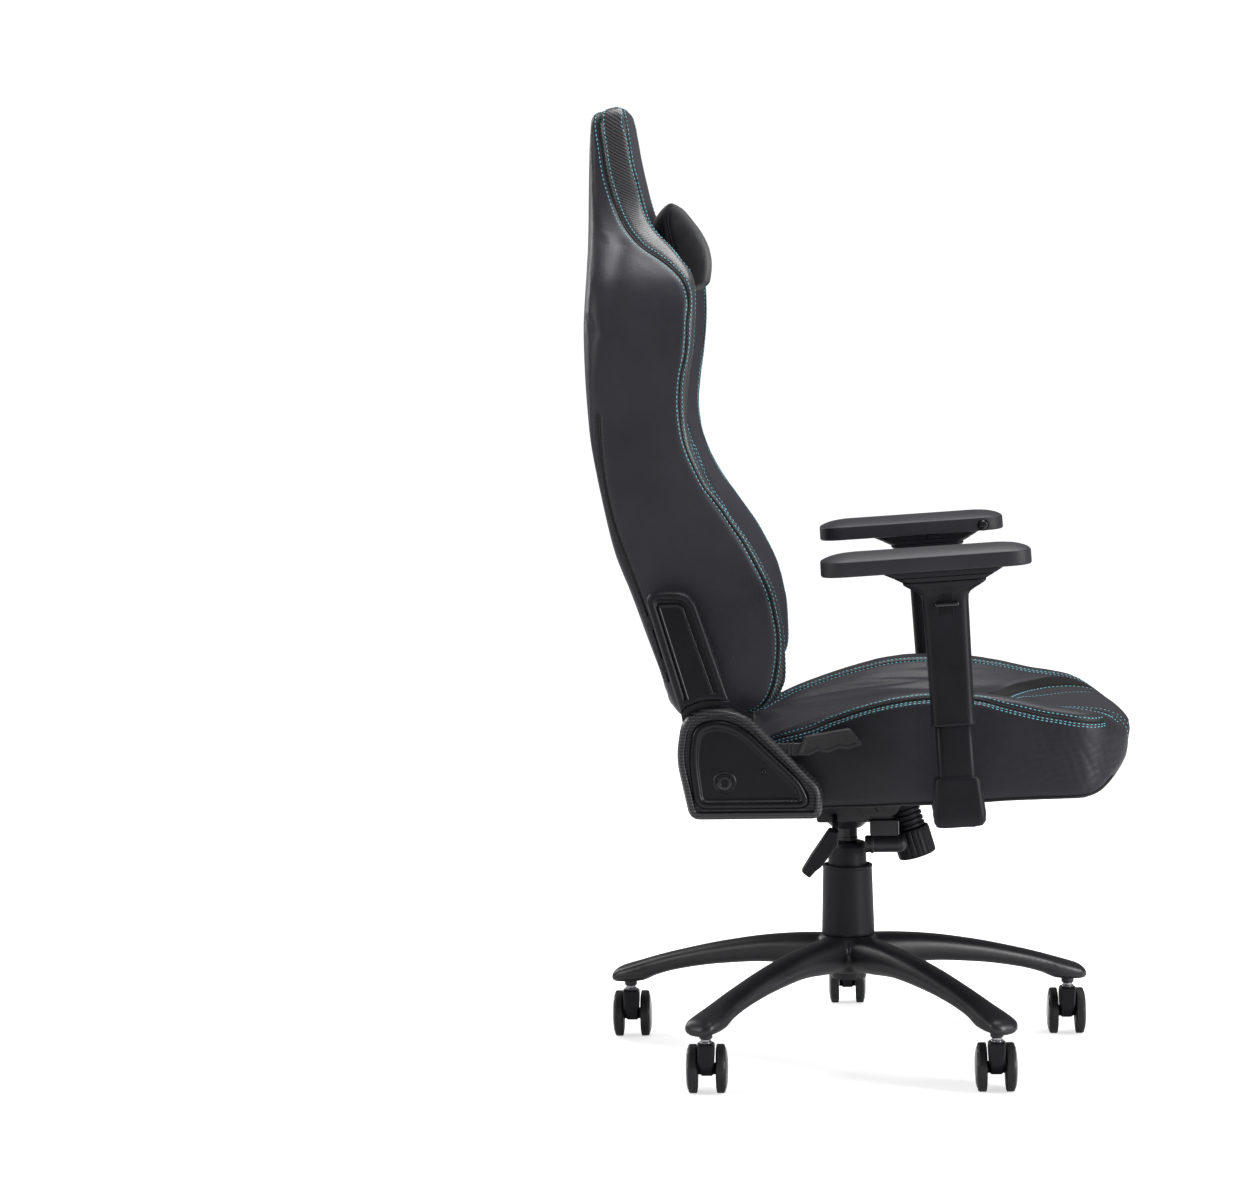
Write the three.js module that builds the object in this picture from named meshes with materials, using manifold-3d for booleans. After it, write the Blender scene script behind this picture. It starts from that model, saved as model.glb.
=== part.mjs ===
// Gaming chair on a five-star base, built from the separate pieces of the real object.
// Millimetres. +X is forward, +Y is the sitter's left, +Z is up, and the floor is z = 0.
import * as THREE from 'three';
import { mergeVertices } from 'three/addons/utils/BufferGeometryUtils.js';
import Module from 'manifold-3d';

const wasm = await Module();
wasm.setup();

// ---- Driving dimensions -------------------------------------------------------------
const gap = 0.4;                  // clearance between pieces that touch
const columnX = -22;              // the lift column stands this far behind the middle of the chair

const stemCircle = 325;           // caster stems, from the column
const armAngles = [18, 90, 162, 234, 306];
const stemRadius = 5.5;
const socketTop = 100;            // top of the stem socket in each base arm
const casterTop = 73;             // top of the caster hood
const wheelRadius = 32.5;
const wheelTrail = 28;            // axle behind the swivel axis
const wheelInside = 12.2;         // inner face of a wheel, from the caster's middle
const wheelWidth = 12.4;
const wheelSides = 16;

const tubeRadius = 24.5;          // gas lift
const pistonRadius = 14;
const hubTop = 170;
const hubBottom = 118;
const lowerCoverTop = 267;
const upperCoverTop = 299;
const pistonTop = 352;

const tiltAxis = { x: 45, z: 352 };
const knobBase = { x: 97.5, z: 278 };
const knobLean = 16.4;            // degrees from upright, foot forward
const knobRadius = 26.5;
const knobLength = 40;

const seatFrameTop = 391.5;
const panThickness = 7;           // the seat frame's pressed pan
const reclineAxis = { x: -175, z: 463 };
const earY = 268;                 // inner face of the seat ears, which carry the recliners
const plateThickness = 5;
const plateY = earY + plateThickness + 0.6;    // inner face of the recliner plates
const coverY = plateY + plateThickness + 0.8;  // inner edge of the hinge and back arm covers
const coverDepth = 23.6;

const armY = 340;                 // middle of each armrest post
const armFoot = { x: 135.5, z: 500 };
const armLean = 3.2;              // degrees that the armrests lean back
const padLength = 268;
const padWidth = 96;
const padBack = -156;             // rear end of the pad, from the post

// ---- Geometry helpers ---------------------------------------------------------------
const radians = THREE.MathUtils.degToRad;

function welded(geometry) {
  const bare = geometry.clone();
  bare.deleteAttribute('normal');
  bare.deleteAttribute('uv');
  return mergeVertices(bare, 1e-3);
}

function toSolid(geometry) {
  const merged = welded(geometry);
  return new wasm.Manifold(new wasm.Mesh({
    numProp: 3,
    vertProperties: new Float32Array(merged.attributes.position.array),
    triVerts: new Uint32Array(merged.index.array),
  }));
}

function toGeometry(solid) {
  const mesh = solid.getMesh();
  const geometry = new THREE.BufferGeometry();
  geometry.setAttribute('position', new THREE.BufferAttribute(mesh.vertProperties, 3));
  geometry.setIndex(new THREE.BufferAttribute(mesh.triVerts, 1));
  return geometry;
}

function join(...geometries) {
  return toGeometry(geometries.map(toSolid).reduce((whole, next) => whole.add(next)));
}

function cut(geometry, ...cutters) {
  return toGeometry(cutters.map(toSolid).reduce((rest, next) => rest.subtract(next), toSolid(geometry)));
}

function block(x, y, z) {
  const [sizeX, sizeY, sizeZ] = [x[1] - x[0], y[1] - y[0], z[1] - z[0]];
  const box = new THREE.BoxGeometry(sizeX, sizeY, sizeZ);
  return box.translate((x[0] + x[1]) / 2, (y[0] + y[1]) / 2, (z[0] + z[1]) / 2);
}

// A turned piece about the Z axis, from [radius, z] points.
function turned(profile, sides = 20) {
  const points = profile.map(([radius, z]) => new THREE.Vector2(radius, z));
  return new THREE.LatheGeometry(points, sides).rotateX(Math.PI / 2);
}

function rodAlongY(radius, yFrom, yTo, x, z, sides = 16) {
  const rod = new THREE.CylinderGeometry(radius, radius, yTo - yFrom, sides);
  return rod.translate(x, (yFrom + yTo) / 2, z);
}

function rodAlongX(radius, xFrom, xTo, y, z, sides = 16) {
  const rod = new THREE.CylinderGeometry(radius, radius, xTo - xFrom, sides).rotateZ(Math.PI / 2);
  return rod.translate((xFrom + xTo) / 2, y, z);
}

// A closed outline whose corners [x, z, radius] are rounded.
function roundedOutline(corners) {
  const outline = new THREE.Shape();
  const count = corners.length;
  corners.forEach(([x, z, radius], i) => {
    const corner = new THREE.Vector2(x, z);
    const [before, after] = [corners[(i + count - 1) % count], corners[(i + 1) % count]];
    const fromBefore = new THREE.Vector2(before[0], before[1]).sub(corner).setLength(radius).add(corner);
    const toAfter = new THREE.Vector2(after[0], after[1]).sub(corner).setLength(radius).add(corner);
    if (i === 0) outline.moveTo(fromBefore.x, fromBefore.y);
    else outline.lineTo(fromBefore.x, fromBefore.y);
    if (radius > 0) outline.quadraticCurveTo(x, z, toAfter.x, toAfter.y);
  });
  outline.closePath();
  return outline;
}

// A prism drawn in the side plane (x, z), from one y to another.
function sidePrism(outline, yFrom, yTo, bevel = 0, curveSegments = 3) {
  const prism = new THREE.ExtrudeGeometry(outline, {
    depth: yTo - yFrom - 2 * bevel,
    bevelEnabled: bevel > 0,
    bevelSize: bevel,
    bevelThickness: bevel,
    bevelOffset: -bevel,
    bevelSegments: 1,
    curveSegments,
  });
  return prism.rotateX(Math.PI / 2).translate(0, yTo - bevel, 0);
}

// A closed solid through rings of [x, y, z] points; flat names the two axes of its end faces.
function loft(rings, flat) {
  const count = rings[0].length;
  const last = (rings.length - 1) * count;
  const triangles = [];
  for (let start = 0; start < last; start += count) {
    for (let i = 0; i < count; i += 1) {
      const [a, b] = [start + i, start + ((i + 1) % count)];
      triangles.push([a, b, b + count], [a, b + count, a + count]);
    }
  }
  // The triangles of an end face, wound the same way as its ring.
  const endFace = (ring) => {
    const outline = ring.map((point) => new THREE.Vector2(point[flat[0]], point[flat[1]]));
    const faces = THREE.ShapeUtils.triangulateShape(outline, []);
    return THREE.ShapeUtils.isClockWise(outline) ? faces.map(([a, b, c]) => [c, b, a]) : faces;
  };
  endFace(rings[0]).forEach(([a, b, c]) => triangles.push([c, b, a]));
  endFace(rings.at(-1)).forEach(([a, b, c]) => triangles.push([last + a, last + b, last + c]));
  const points = rings.flat();
  const volume = triangles.reduce((sum, corners) => {
    const [a, b, c] = corners.map((i) => new THREE.Vector3(...points[i]));
    return sum + a.dot(b.cross(c));
  }, 0);
  const outward = volume > 0 ? triangles : triangles.map(([a, b, c]) => [c, b, a]);
  const geometry = new THREE.BufferGeometry();
  geometry.setAttribute('position', new THREE.BufferAttribute(new Float32Array(points.flat()), 3));
  geometry.setIndex(outward.flat());
  return geometry;
}

const XY = [0, 1];
const YZ = [1, 2];

function rectangleAt(x, y, z) {
  return [[x[0], y[0], z], [x[1], y[0], z], [x[1], y[1], z], [x[0], y[1], z]];
}

// The value of a named measure at a height or length between stations, along straight lines.
function between(stations, along, at, name) {
  const next = Math.max(1, stations.findIndex((station) => station[along] >= at));
  const [a, b] = [stations[next - 1], stations[next]];
  return THREE.MathUtils.mapLinear(at, a[along], b[along], a[name], b[name]);
}

// ---- Materials ----------------------------------------------------------------------
const material = (color, roughness, metalness = 0) =>
  new THREE.MeshStandardMaterial({ color, roughness, metalness });
const leather = material(0x3c3c40, 0.5);
const suede = material(0x242427, 0.95);
const plastic = material(0x232326, 0.5);
const glossPlastic = material(0x1b1b1e, 0.25);
const softPad = material(0x2c2c2f, 0.6);
const tread = material(0x3a3a3d, 0.7);
const paintedMetal = material(0x18181a, 0.4, 0.3);
const bareSteel = material(0xb8bbc0, 0.3, 0.9);

const chair = new THREE.Group();
const column = new THREE.Group();
column.position.x = columnX;
chair.add(column);

function piece(name, geometry, look, parent = column) {
  const mesh = new THREE.Mesh(geometry, look);
  mesh.name = name;
  parent.add(mesh);
  return mesh;
}

// ---- Base ---------------------------------------------------------------------------
// Stations along one arm: distance out, height of the middle, half width and half height.
const armStations = [
  { out: 20, middle: 146, half: 27, rise: 23 },
  { out: 110, middle: 144, half: 23, rise: 19.5 },
  { out: 185, middle: 134.5, half: 21, rise: 15.5 },
  { out: 250, middle: 120.5, half: 20, rise: 13.5 },
  { out: 300, middle: 107, half: 21, rise: 13 },
  { out: 338, middle: 94, half: 17, rise: 10 },
];

function baseArm(angle) {
  const sides = 8;
  const rings = armStations.map(({ out, middle, half, rise }) =>
    Array.from({ length: sides }, (_, i) => {
      const turn = (2 * Math.PI * i) / sides;
      return [out, half * Math.cos(turn), middle + rise * Math.sin(turn)];
    }));
  return loft(rings, YZ).rotateZ(radians(angle));
}

function atStem(geometry, angle) {
  const turn = radians(angle);
  return geometry.translate(stemCircle * Math.cos(turn), stemCircle * Math.sin(turn), 0);
}

function starBase() {
  const hub = turned([[0, hubBottom], [34, hubBottom], [39, hubBottom + 8], [41, 150],
    [38, hubTop], [0, hubTop]], 18);
  const bossProfile = [[0, 79], [8.5, 79], [9, 84], [20, 85], [24, 89], [24.5, 95],
    [21, 104], [12, 109], [0, 110]];
  const bosses = armAngles.map((angle) => atStem(turned(bossProfile, 14), angle));
  const socketProfile = [[0, 70], [stemRadius + gap, 70], [stemRadius + gap, socketTop],
    [0, socketTop]];
  const sockets = armAngles.map((angle) => atStem(turned(socketProfile, 10), angle));
  const boreRadius = tubeRadius + gap;
  const bore = turned([[0, 100], [boreRadius, 100], [boreRadius, 180], [0, 180]], 20);
  return cut(join(hub, ...armAngles.map(baseArm), ...bosses), bore, ...sockets);
}

// The stem, with the spring ring that holds it in its socket.
function casterStem() {
  const ringRadius = 7;
  return turned([[0, 46], [stemRadius, 46], [stemRadius, casterTop + 0.6], [ringRadius, casterTop + 0.8],
    [ringRadius, 78.4], [stemRadius, 78.6], [stemRadius, socketTop - gap], [0, socketTop - gap]], 10);
}

// The block between the wheels, narrowing downwards, with the axle it carries.
function casterHood() {
  const [widthAtTop, widthAtFoot, foot] = [23, 17, 22];
  const outline = roundedOutline([[-13, casterTop, 3], [13, casterTop, 6], [40, 58, 12],
    [44, foot + 4, 8], [20, foot, 8], [-13, 48, 6]]);
  const body = sidePrism(outline, -widthAtTop / 2, widthAtTop / 2, 0, 2).rotateZ(Math.PI / 2);
  const points = body.attributes.position;
  for (let i = 0; i < points.count; i += 1) {
    const share = THREE.MathUtils.mapLinear(points.getZ(i), foot, casterTop, 0, 1);
    const narrowing = THREE.MathUtils.lerp(widthAtFoot / widthAtTop, 1, share);
    points.setX(i, points.getX(i) * narrowing);
  }
  const axleEnd = wheelInside + wheelWidth + 1.3;
  const axle = rodAlongX(4, -axleEnd, axleEnd, wheelTrail, wheelRadius, 10);
  const stemHole = turned([[0, 45], [stemRadius + gap, 45], [stemRadius + gap, 90], [0, 90]], 10);
  return cut(join(body, axle), stemHole);
}

// Tread and domed hub cap about the X axis, with a blind hole for the axle.
function casterWheel() {
  const corner = wheelRadius / Math.cos(Math.PI / wheelSides);
  const outside = wheelInside + wheelWidth;
  const axleHole = 4 + gap;
  const profile = [[0, outside + 3.6], [17, outside + 3], [30, outside + 0.4], [corner, outside - 1.2],
    [corner, wheelInside + 1.2], [29, wheelInside], [axleHole, wheelInside],
    [axleHole, outside + 1.7], [0, outside + 1.7]].reverse();
  const points = profile.map(([radius, along]) => new THREE.Vector2(radius, along));
  return new THREE.LatheGeometry(points, wheelSides, Math.PI / wheelSides).rotateZ(-Math.PI / 2);
}

function addCaster(angle, number) {
  const caster = new THREE.Group();
  caster.position.set(stemCircle * Math.cos(radians(angle)), stemCircle * Math.sin(radians(angle)), 0);
  column.add(caster);
  piece(`caster_stem_${number}`, casterStem(), bareSteel, caster);
  piece(`caster_hood_${number}`, casterHood(), plastic, caster);
  for (const [side, turn] of [['left', Math.PI], ['right', 0]]) {
    const wheel = piece(`caster_wheel_${number}_${side}`, casterWheel(), tread, caster);
    wheel.position.set(0, wheelTrail, wheelRadius);
    wheel.rotation.z = turn;
  }
}

piece('star_base', starBase(), paintedMetal);
armAngles.forEach((angle, i) => addCaster(angle, i + 1));

// ---- Lift column --------------------------------------------------------------------
function liftTube() {
  const [foot, top, boreFoot, bore] = [108, 240, 116, pistonRadius + gap];
  return turned([[0, foot], [tubeRadius - 1, foot], [tubeRadius, foot + 2], [tubeRadius, top - 2],
    [tubeRadius - 1, top], [bore, top], [bore, boreFoot], [0, boreFoot]]);
}

// The rod, with the valve pin on its taper.
function liftPiston() {
  return turned([[0, 150], [pistonRadius, 150], [pistonRadius, 318], [pistonRadius - 0.8, pistonTop],
    [4, pistonTop], [4, pistonTop + 4], [0, pistonTop + 4]]);
}

function lowerCover() {
  const [footRadius, topRadius, wall] = [36, 33, 3];
  const foot = hubTop + gap;
  return turned([[tubeRadius + 1, foot], [footRadius, foot], [topRadius + 0.6, lowerCoverTop - 3],
    [topRadius - 0.6, lowerCoverTop], [topRadius - wall, lowerCoverTop],
    [footRadius - wall, foot + wall], [tubeRadius + 1, foot + wall], [tubeRadius + 1, foot]]);
}

function upperCover() {
  const [radius, topRadius, wall, foot] = [26.5, 23, 1.4, 205];
  return turned([[radius - wall, foot], [radius + 1.5, foot], [radius + 1.5, foot + 3], [radius, foot + 3],
    [radius, lowerCoverTop + 3], [topRadius, upperCoverTop], [pistonRadius + 1, upperCoverTop],
    [pistonRadius + 1, upperCoverTop - 2], [topRadius - wall, upperCoverTop - 2],
    [radius - wall, lowerCoverTop + 3], [radius - wall, foot]]);
}

piece('gas_lift_tube', liftTube(), paintedMetal);
piece('gas_lift_piston', liftPiston(), paintedMetal);
piece('lift_cover_lower', lowerCover(), plastic);
piece('lift_cover_upper', upperCover(), plastic);

// ---- Tilt mechanism -----------------------------------------------------------------
const housingY = 42;              // half width of the housing
const flangeY = 46;               // inner face of the seat plate's flanges

// Along the spring's axis: the foot of the knob is the origin and +Z runs up the axis.
const springFrame = new THREE.Group();
springFrame.position.set(knobBase.x, 0, knobBase.z);
springFrame.rotation.y = -radians(knobLean);
column.add(springFrame);

function alongSpring(geometry) {
  return geometry.rotateY(-radians(knobLean)).translate(knobBase.x, 0, knobBase.z);
}

function tiltHousing() {
  const trough = sidePrism(roundedOutline([[-42, 330, 4], [49, 330, 6], [54, 367, 6], [40, 370, 6],
    [-42, 358, 6]]), -housingY, housingY);
  const funnel = turned([[0, 318], [19, 318], [33, 331], [0, 331]], 20);
  const nose = alongSpring(turned([[0, 78], [21, 78], [21, 88], [0, 88]], 16));
  const bridge = alongSpring(block([-34, 0], [-18, 18], [78, 88]));
  const webFar = 50;
  const webTop = 335;             // clear of the seat plate's flange when the seat tilts back
  const web = block([31, 71], [-webFar, -28], [300, webTop]);
  const barrel = rodAlongX(11, 24, 82, -39, 294, 14);
  const tiltPinHole = rodAlongY(5 + gap, -webFar, webFar, tiltAxis.x, tiltAxis.z, 16);
  const bore = turned([[0, 300], [pistonRadius + gap, 300], [pistonRadius + gap, pistonTop + 5],
    [0, pistonTop + 5]]);
  const leverSlot = block([-26, -8], [-housingY - 1, -22], [329, 348]);
  const springBore = alongSpring(turned([[0, 70], [8, 70], [8, 80], [0, 80]], 12));
  return cut(join(trough, funnel, nose, bridge, web, barrel), tiltPinHole, bore, leverSlot, springBore);
}

function tiltPin() {
  return rodAlongY(5, -53, 53, tiltAxis.x, tiltAxis.z, 16);
}

// Top plate under the seat frame, with the two flanges that the pin passes through.
function seatPlate() {
  const top = block([-92, 96], [-75, 75], [379.5, seatFrameTop - panThickness - gap]);
  const flange = roundedOutline([[6, 383, 0], [88, 383, 0], [66, 340, 8], [22, 340, 8]]);
  const flanges = [[-flangeY - 4, -flangeY], [flangeY, flangeY + 4]].map(([from, to]) =>
    sidePrism(flange, from, to));
  const pinHole = rodAlongY(5 + gap, -60, 60, tiltAxis.x, tiltAxis.z, 16);
  return cut(join(top, ...flanges), pinHole);
}

// A ribbed sleeve round the tilt spring.
function springSleeve() {
  const [foot, top, ribs, radius, depth] = [knobLength + gap, 77.5, 5, 22.5, 1.8];
  const pitch = (top - foot) / ribs;
  const outside = Array.from({ length: ribs }, (_, i) => [
    [radius, foot + (i + 0.15) * pitch], [radius, foot + (i + 0.65) * pitch],
    [radius - depth, foot + (i + 0.8) * pitch],
  ]).flat();
  return turned([[0, foot], [radius - depth, foot], ...outside, [radius - depth, top], [0, top]], 18);
}

// The grip has shallow flutes all round.
function tensionKnob() {
  const flutes = 12;
  const body = turned([[0, 0], [knobRadius - 3, 0], [knobRadius, 3], [knobRadius, knobLength - 4],
    [knobRadius - 3, knobLength], [0, knobLength]], flutes * 2);
  const flute = (i) => turned([[0, 5], [2, 5], [2, knobLength - 5], [0, knobLength - 5]], 6)
    .translate(knobRadius + 0.8, 0, 0).rotateZ((2 * Math.PI * i) / flutes);
  return cut(body, ...Array.from({ length: flutes }, (_, i) => flute(i)));
}

// A bent flat bar that comes out sideways from the housing, with a paddle at its end.
function heightLever() {
  const bar = block([-21, -13], [-150, -24], [334, 342]);
  const paddle = sidePrism(roundedOutline([[-25, 341, 3], [-12, 338, 4], [-38, 300, 3], [-52, 276, 3],
    [-63, 284, 3], [-50, 305, 3]]), -172, -146);
  return join(bar, paddle);
}

piece('tilt_housing', tiltHousing(), paintedMetal);
piece('tilt_pin', tiltPin(), bareSteel);
piece('seat_plate', seatPlate(), paintedMetal);
piece('tilt_spring_sleeve', springSleeve(), plastic, springFrame);
piece('tension_knob', tensionKnob(), plastic, springFrame);
piece('height_lever', heightLever(), plastic);

// ---- Seat ---------------------------------------------------------------------------
// Pressed pan with a rear rail, whose ends turn up into the ears of the recliners.
function seatFrame() {
  const rear = -148;
  const panHalf = 196;
  const pan = block([rear + 20, 308], [-panHalf, panHalf],
    [seatFrameTop - panThickness, seatFrameTop]);
  const ribs = [-30, 137, 200].map((x) => block([x - 12, x + 12], [-panHalf + 6, panHalf - 6],
    [seatFrameTop - 1, 397]));
  const rail = block([rear, rear + 24], [-earY - plateThickness, earY + plateThickness], [383, 399]);
  const ear = roundedOutline([[-196, 384, 6], [-52, 384, 10], [-52, 404, 10], [-140, 470, 20],
    [-155, 500, 20], [-196, 500, 20], [-208, 463, 15]]);
  const hole = new THREE.Path();
  hole.absarc(reclineAxis.x, reclineAxis.z, 9, 0, 2 * Math.PI, true);
  ear.holes.push(hole);
  const earEnds = [[-earY - plateThickness, -earY], [earY, earY + plateThickness]];
  const ears = earEnds.map(([from, to]) => sidePrism(ear, from, to));
  return join(pan, ...ribs, rail, ...ears);
}

// Stations from back to front: bolster top, underside, half width and depth of the middle.
const seatStations = [
  { x: -114, top: 470, under: 379, half: 240, dip: 20, recess: 15 },
  { x: -96, top: 482, under: 377.5, half: 258, dip: 26, recess: 16 },
  { x: -50, top: 499, under: 378, half: 266, dip: 34, recess: 22 },
  { x: 16, top: 520, under: 379, half: 269, dip: 42, recess: 22 },
  { x: 68, top: 532, under: 381, half: 270, dip: 46, recess: 20 },
  { x: 105, top: 535, under: 382, half: 270, dip: 46, recess: 18 },
  { x: 165, top: 533, under: 384, half: 270, dip: 40, recess: 16 },
  { x: 215, top: 526, under: 387, half: 270, dip: 32, recess: 13 },
  { x: 274, top: 511, under: 393, half: 269, dip: 20, recess: 7 },
  { x: 314, top: 503, under: 399, half: 266, dip: 12, recess: 1 },
  { x: 342, top: 496, under: 404, half: 256, dip: 8, recess: 0 },
  { x: 366, top: 485, under: 416, half: 238, dip: 5, recess: 0 },
  { x: 381, top: 471, under: 432, half: 216, dip: 2, recess: 0 },
  { x: 388, top: 458, under: 444, half: 196, dip: 0, recess: 0 },
];

function seatCushion() {
  const rings = seatStations.map(({ x, top, under, half, dip, recess }) => {
    const side = [[0.83, under + recess], [0.84, under], [0.95, under], [1, under + 0.15 * (top - under)],
      [1, top - 0.2 * (top - under)], [0.94, top], [0.8, top - 0.1 * dip], [0.62, top - 0.7 * dip],
      [0.5, top - dip]];
    const left = side.map(([share, z]) => [x, share * half, z]);
    const right = side.map(([share, z]) => [x, -share * half, z]).reverse();
    return [...left, ...right];
  });
  return loft(rings, YZ);
}

piece('seat_frame', seatFrame(), paintedMetal);
piece('seat_cushion', seatCushion(), leather);

// ---- Backrest -----------------------------------------------------------------------
// Stations upwards: rear surface, wing front, middle front and half width.
const backStations = [
  { z: 507, rear: -229, wing: -128, middle: -160, half: 244 },
  { z: 535, rear: -241, wing: -88, middle: -152, half: 254 },
  { z: 612, rear: -266, wing: -77, middle: -152, half: 260 },
  { z: 700, rear: -299, wing: -91, middle: -168, half: 262 },
  { z: 800, rear: -325, wing: -144, middle: -195, half: 260 },
  { z: 880, rear: -335, wing: -187, middle: -220, half: 256 },
  { z: 940, rear: -337, wing: -189, middle: -236, half: 256 },
  { z: 1020, rear: -339, wing: -176, middle: -246, half: 262 },
  { z: 1072, rear: -340, wing: -182, middle: -251, half: 252 },
  { z: 1112, rear: -341, wing: -210, middle: -253, half: 206 },
  { z: 1152, rear: -342, wing: -248, middle: -255, half: 152 },
  { z: 1210, rear: -340, wing: -262, middle: -263, half: 139 },
  { z: 1280, rear: -336, wing: -273, middle: -273, half: 138 },
  { z: 1301, rear: -331, wing: -281, middle: -279, half: 128 },
  { z: 1311, rear: -314, wing: -297, middle: -295, half: 108 },
];

function backRing({ z, rear, wing, middle, half }) {
  const depth = wing - rear;
  const side = [[rear, 0.78], [rear + 0.12 * depth, 0.94], [rear + 0.35 * depth, 1],
    [wing - 0.15 * depth, 1], [wing, 0.95], [wing - 0.02 * depth, 0.86],
    [middle + 0.4 * (wing - middle), 0.66], [middle, 0.5]];
  const left = side.map(([x, share]) => [x, share * half, z]);
  const right = side.map(([x, share]) => [x, -share * half, z]).reverse();
  return [...left, ...right];
}

// The frame's uprights run up the back of the cushion and close in towards the head.
const uprightStations = [
  { z: 525, x: -216, y: 186 },
  { z: 640, x: -250, y: 190 },
  { z: 760, x: -290, y: 188 },
  { z: 900, x: -314, y: 180 },
  { z: 1030, x: -317, y: 160 },
  { z: 1130, x: -319, y: 96 },
  { z: 1240, x: -316, y: 84 },
];
const crossbarHeights = [548, 900, 1224];
const bossHeights = [575, 632];
const frameHalf = 10;             // half the thickness of the frame's tubes

// One upright, or the groove for it when clearance and reach to the rear are given.
function upright(side, clearance = 0, reach = 0) {
  const half = frameHalf + clearance;
  return loft(uprightStations.map(({ z, x, y }, i) => {
    const isEnd = i === 0 ? -1 : Number(i === uprightStations.length - 1);
    const [from, to] = [side * y - half, side * y + half];
    return rectangleAt([x - half - reach, x + half], [from, to], z + isEnd * clearance);
  }), XY);
}

function crossbar(height, clearance = 0, reach = 0) {
  const half = frameHalf - 1 + clearance;
  const x = between(uprightStations, 'z', height, 'x');
  const y = between(uprightStations, 'z', height, 'y') + clearance;
  return block([x - half - reach, x + half], [-y, y], [height - half, height + half]);
}

// Spigots from each upright out to the recliner plate.
function sideBoss(side, height, clearance = 0, reach = 0) {
  const half = 9 + clearance;
  const x = between(uprightStations, 'z', height, 'x');
  const outerEnd = clearance > 0 ? plateY + 20 : plateY - gap;
  const ends = [side * 186, side * outerEnd].sort((a, b) => a - b);
  return block([x - half - reach, x + half], ends, [height - half, height + half]);
}

function backFramePieces(clearance, reach) {
  return [-1, 1].flatMap((side) => [
    upright(side, clearance, reach),
    ...bossHeights.map((height) => sideBoss(side, height, clearance, reach)),
  ]).concat(crossbarHeights.map((height) => crossbar(height, clearance, reach)));
}

function backFrame() {
  return join(...backFramePieces(0, 0));
}

function backCushion() {
  return cut(loft(backStations.map(backRing), XY), ...backFramePieces(0.6, 80));
}

function headPillow() {
  const [halfWidth, stations] = [132, [
    { z: 1060, rear: -212, front: -192, share: 0.86 },
    { z: 1070, rear: -236, front: -181, share: 0.97 },
    { z: 1104, rear: -245, front: -178, share: 1 },
    { z: 1140, rear: -247, front: -190, share: 0.99 },
    { z: 1166, rear: -249, front: -208, share: 0.93 },
    { z: 1180, rear: -240, front: -224, share: 0.8 },
  ]];
  return loft(stations.map(({ z, rear, front, share }) => {
    const side = [[rear, 0.68], [(rear + front) / 2, 1], [front, 0.88], [front + 2, 0.5]];
    const left = side.map(([x, part]) => [x, part * share * halfWidth, z]);
    const right = side.map(([x, part]) => [x, -part * share * halfWidth, z]).reverse();
    return [...left, ...right];
  }), XY);
}

piece('back_frame', backFrame(), paintedMetal);
piece('back_cushion', backCushion(), leather);
piece('head_pillow', headPillow(), suede);

// ---- Recliners ----------------------------------------------------------------------
// Mirrors a side outline piece: y from the middle of the chair is given for either side.
function onSide(side, outline, from, to, bevel = 0) {
  return side < 0 ? sidePrism(outline, -to, -from, bevel) : sidePrism(outline, from, to, bevel);
}

// The half of the recliner that turns with the back, with its arm up the side of the back.
function reclinerPlate(side) {
  const plate = new THREE.Shape();
  const { x, z } = reclineAxis;
  plate.absarc(x, z, 34, radians(-185), radians(50));
  plate.lineTo(-204, 640);
  plate.lineTo(-236, 644);
  plate.closePath();
  const hole = new THREE.Path();
  hole.absarc(x, z, 9, 0, 2 * Math.PI, true);
  plate.holes.push(hole);
  return onSide(side, plate, plateY, plateY + plateThickness);
}

function hingeCoverOutline(inset) {
  const shape = roundedOutline([[-206, 374, 14], [-34, 374, 14], [-32, 414, 14], [-128, 512, 20],
    [-168, 523, 20], [-214, 512, 26], [-223, 455, 20]]);
  if (inset === 0) return shape;
  const middle = { x: -135, z: 440 };
  const points = shape.getPoints(3).slice(0, -1).map((point) => {
    const fromMiddle = new THREE.Vector2(point.x - middle.x, point.y - middle.z);
    return fromMiddle.setLength(fromMiddle.length() - inset).add(new THREE.Vector2(middle.x, middle.z));
  });
  return new THREE.Shape(points);
}

// A shallow shell over the recliner. The right one is notched for the recline lever.
function hingeCover(side) {
  const [face, faceY] = [5, coverY + coverDepth];
  const shell = onSide(side, hingeCoverOutline(0), coverY, faceY, 3);
  const hollow = onSide(side, hingeCoverOutline(6), coverY - 1, faceY - face);
  if (side > 0) return cut(shell, hollow);
  const notch = block([-118, -20], [face - faceY, 1 - coverY], [444, 530]);
  return cut(shell, hollow, notch);
}

// A slim shell over the plate's arm; its foot follows the turn of the recliner.
function backArmCover(side) {
  const [footRadius, face, depth] = [66, 5, 14];
  const outline = (inset) => {
    const shape = new THREE.Shape();
    const { x, z } = reclineAxis;
    shape.absarc(x, z, footRadius + inset, radians(135), radians(76), true);
    shape.lineTo(-196 - inset, 652);
    shape.quadraticCurveTo(-200, 671 - inset, -216, 671 - inset);
    shape.lineTo(-243, 671 - inset);
    shape.quadraticCurveTo(-262 + inset, 669 - inset, -259 + inset, 650);
    shape.closePath();
    return shape;
  };
  const shell = onSide(side, outline(0), coverY, coverY + depth, 3);
  const hollow = onSide(side, outline(5), coverY - 1, coverY + depth - face);
  return cut(shell, hollow);
}

// The shaft that joins the two recliners, turned by the lever.
function reclineShaft() {
  return rodAlongY(6, -coverY, coverY, reclineAxis.x, reclineAxis.z, 12);
}

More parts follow.
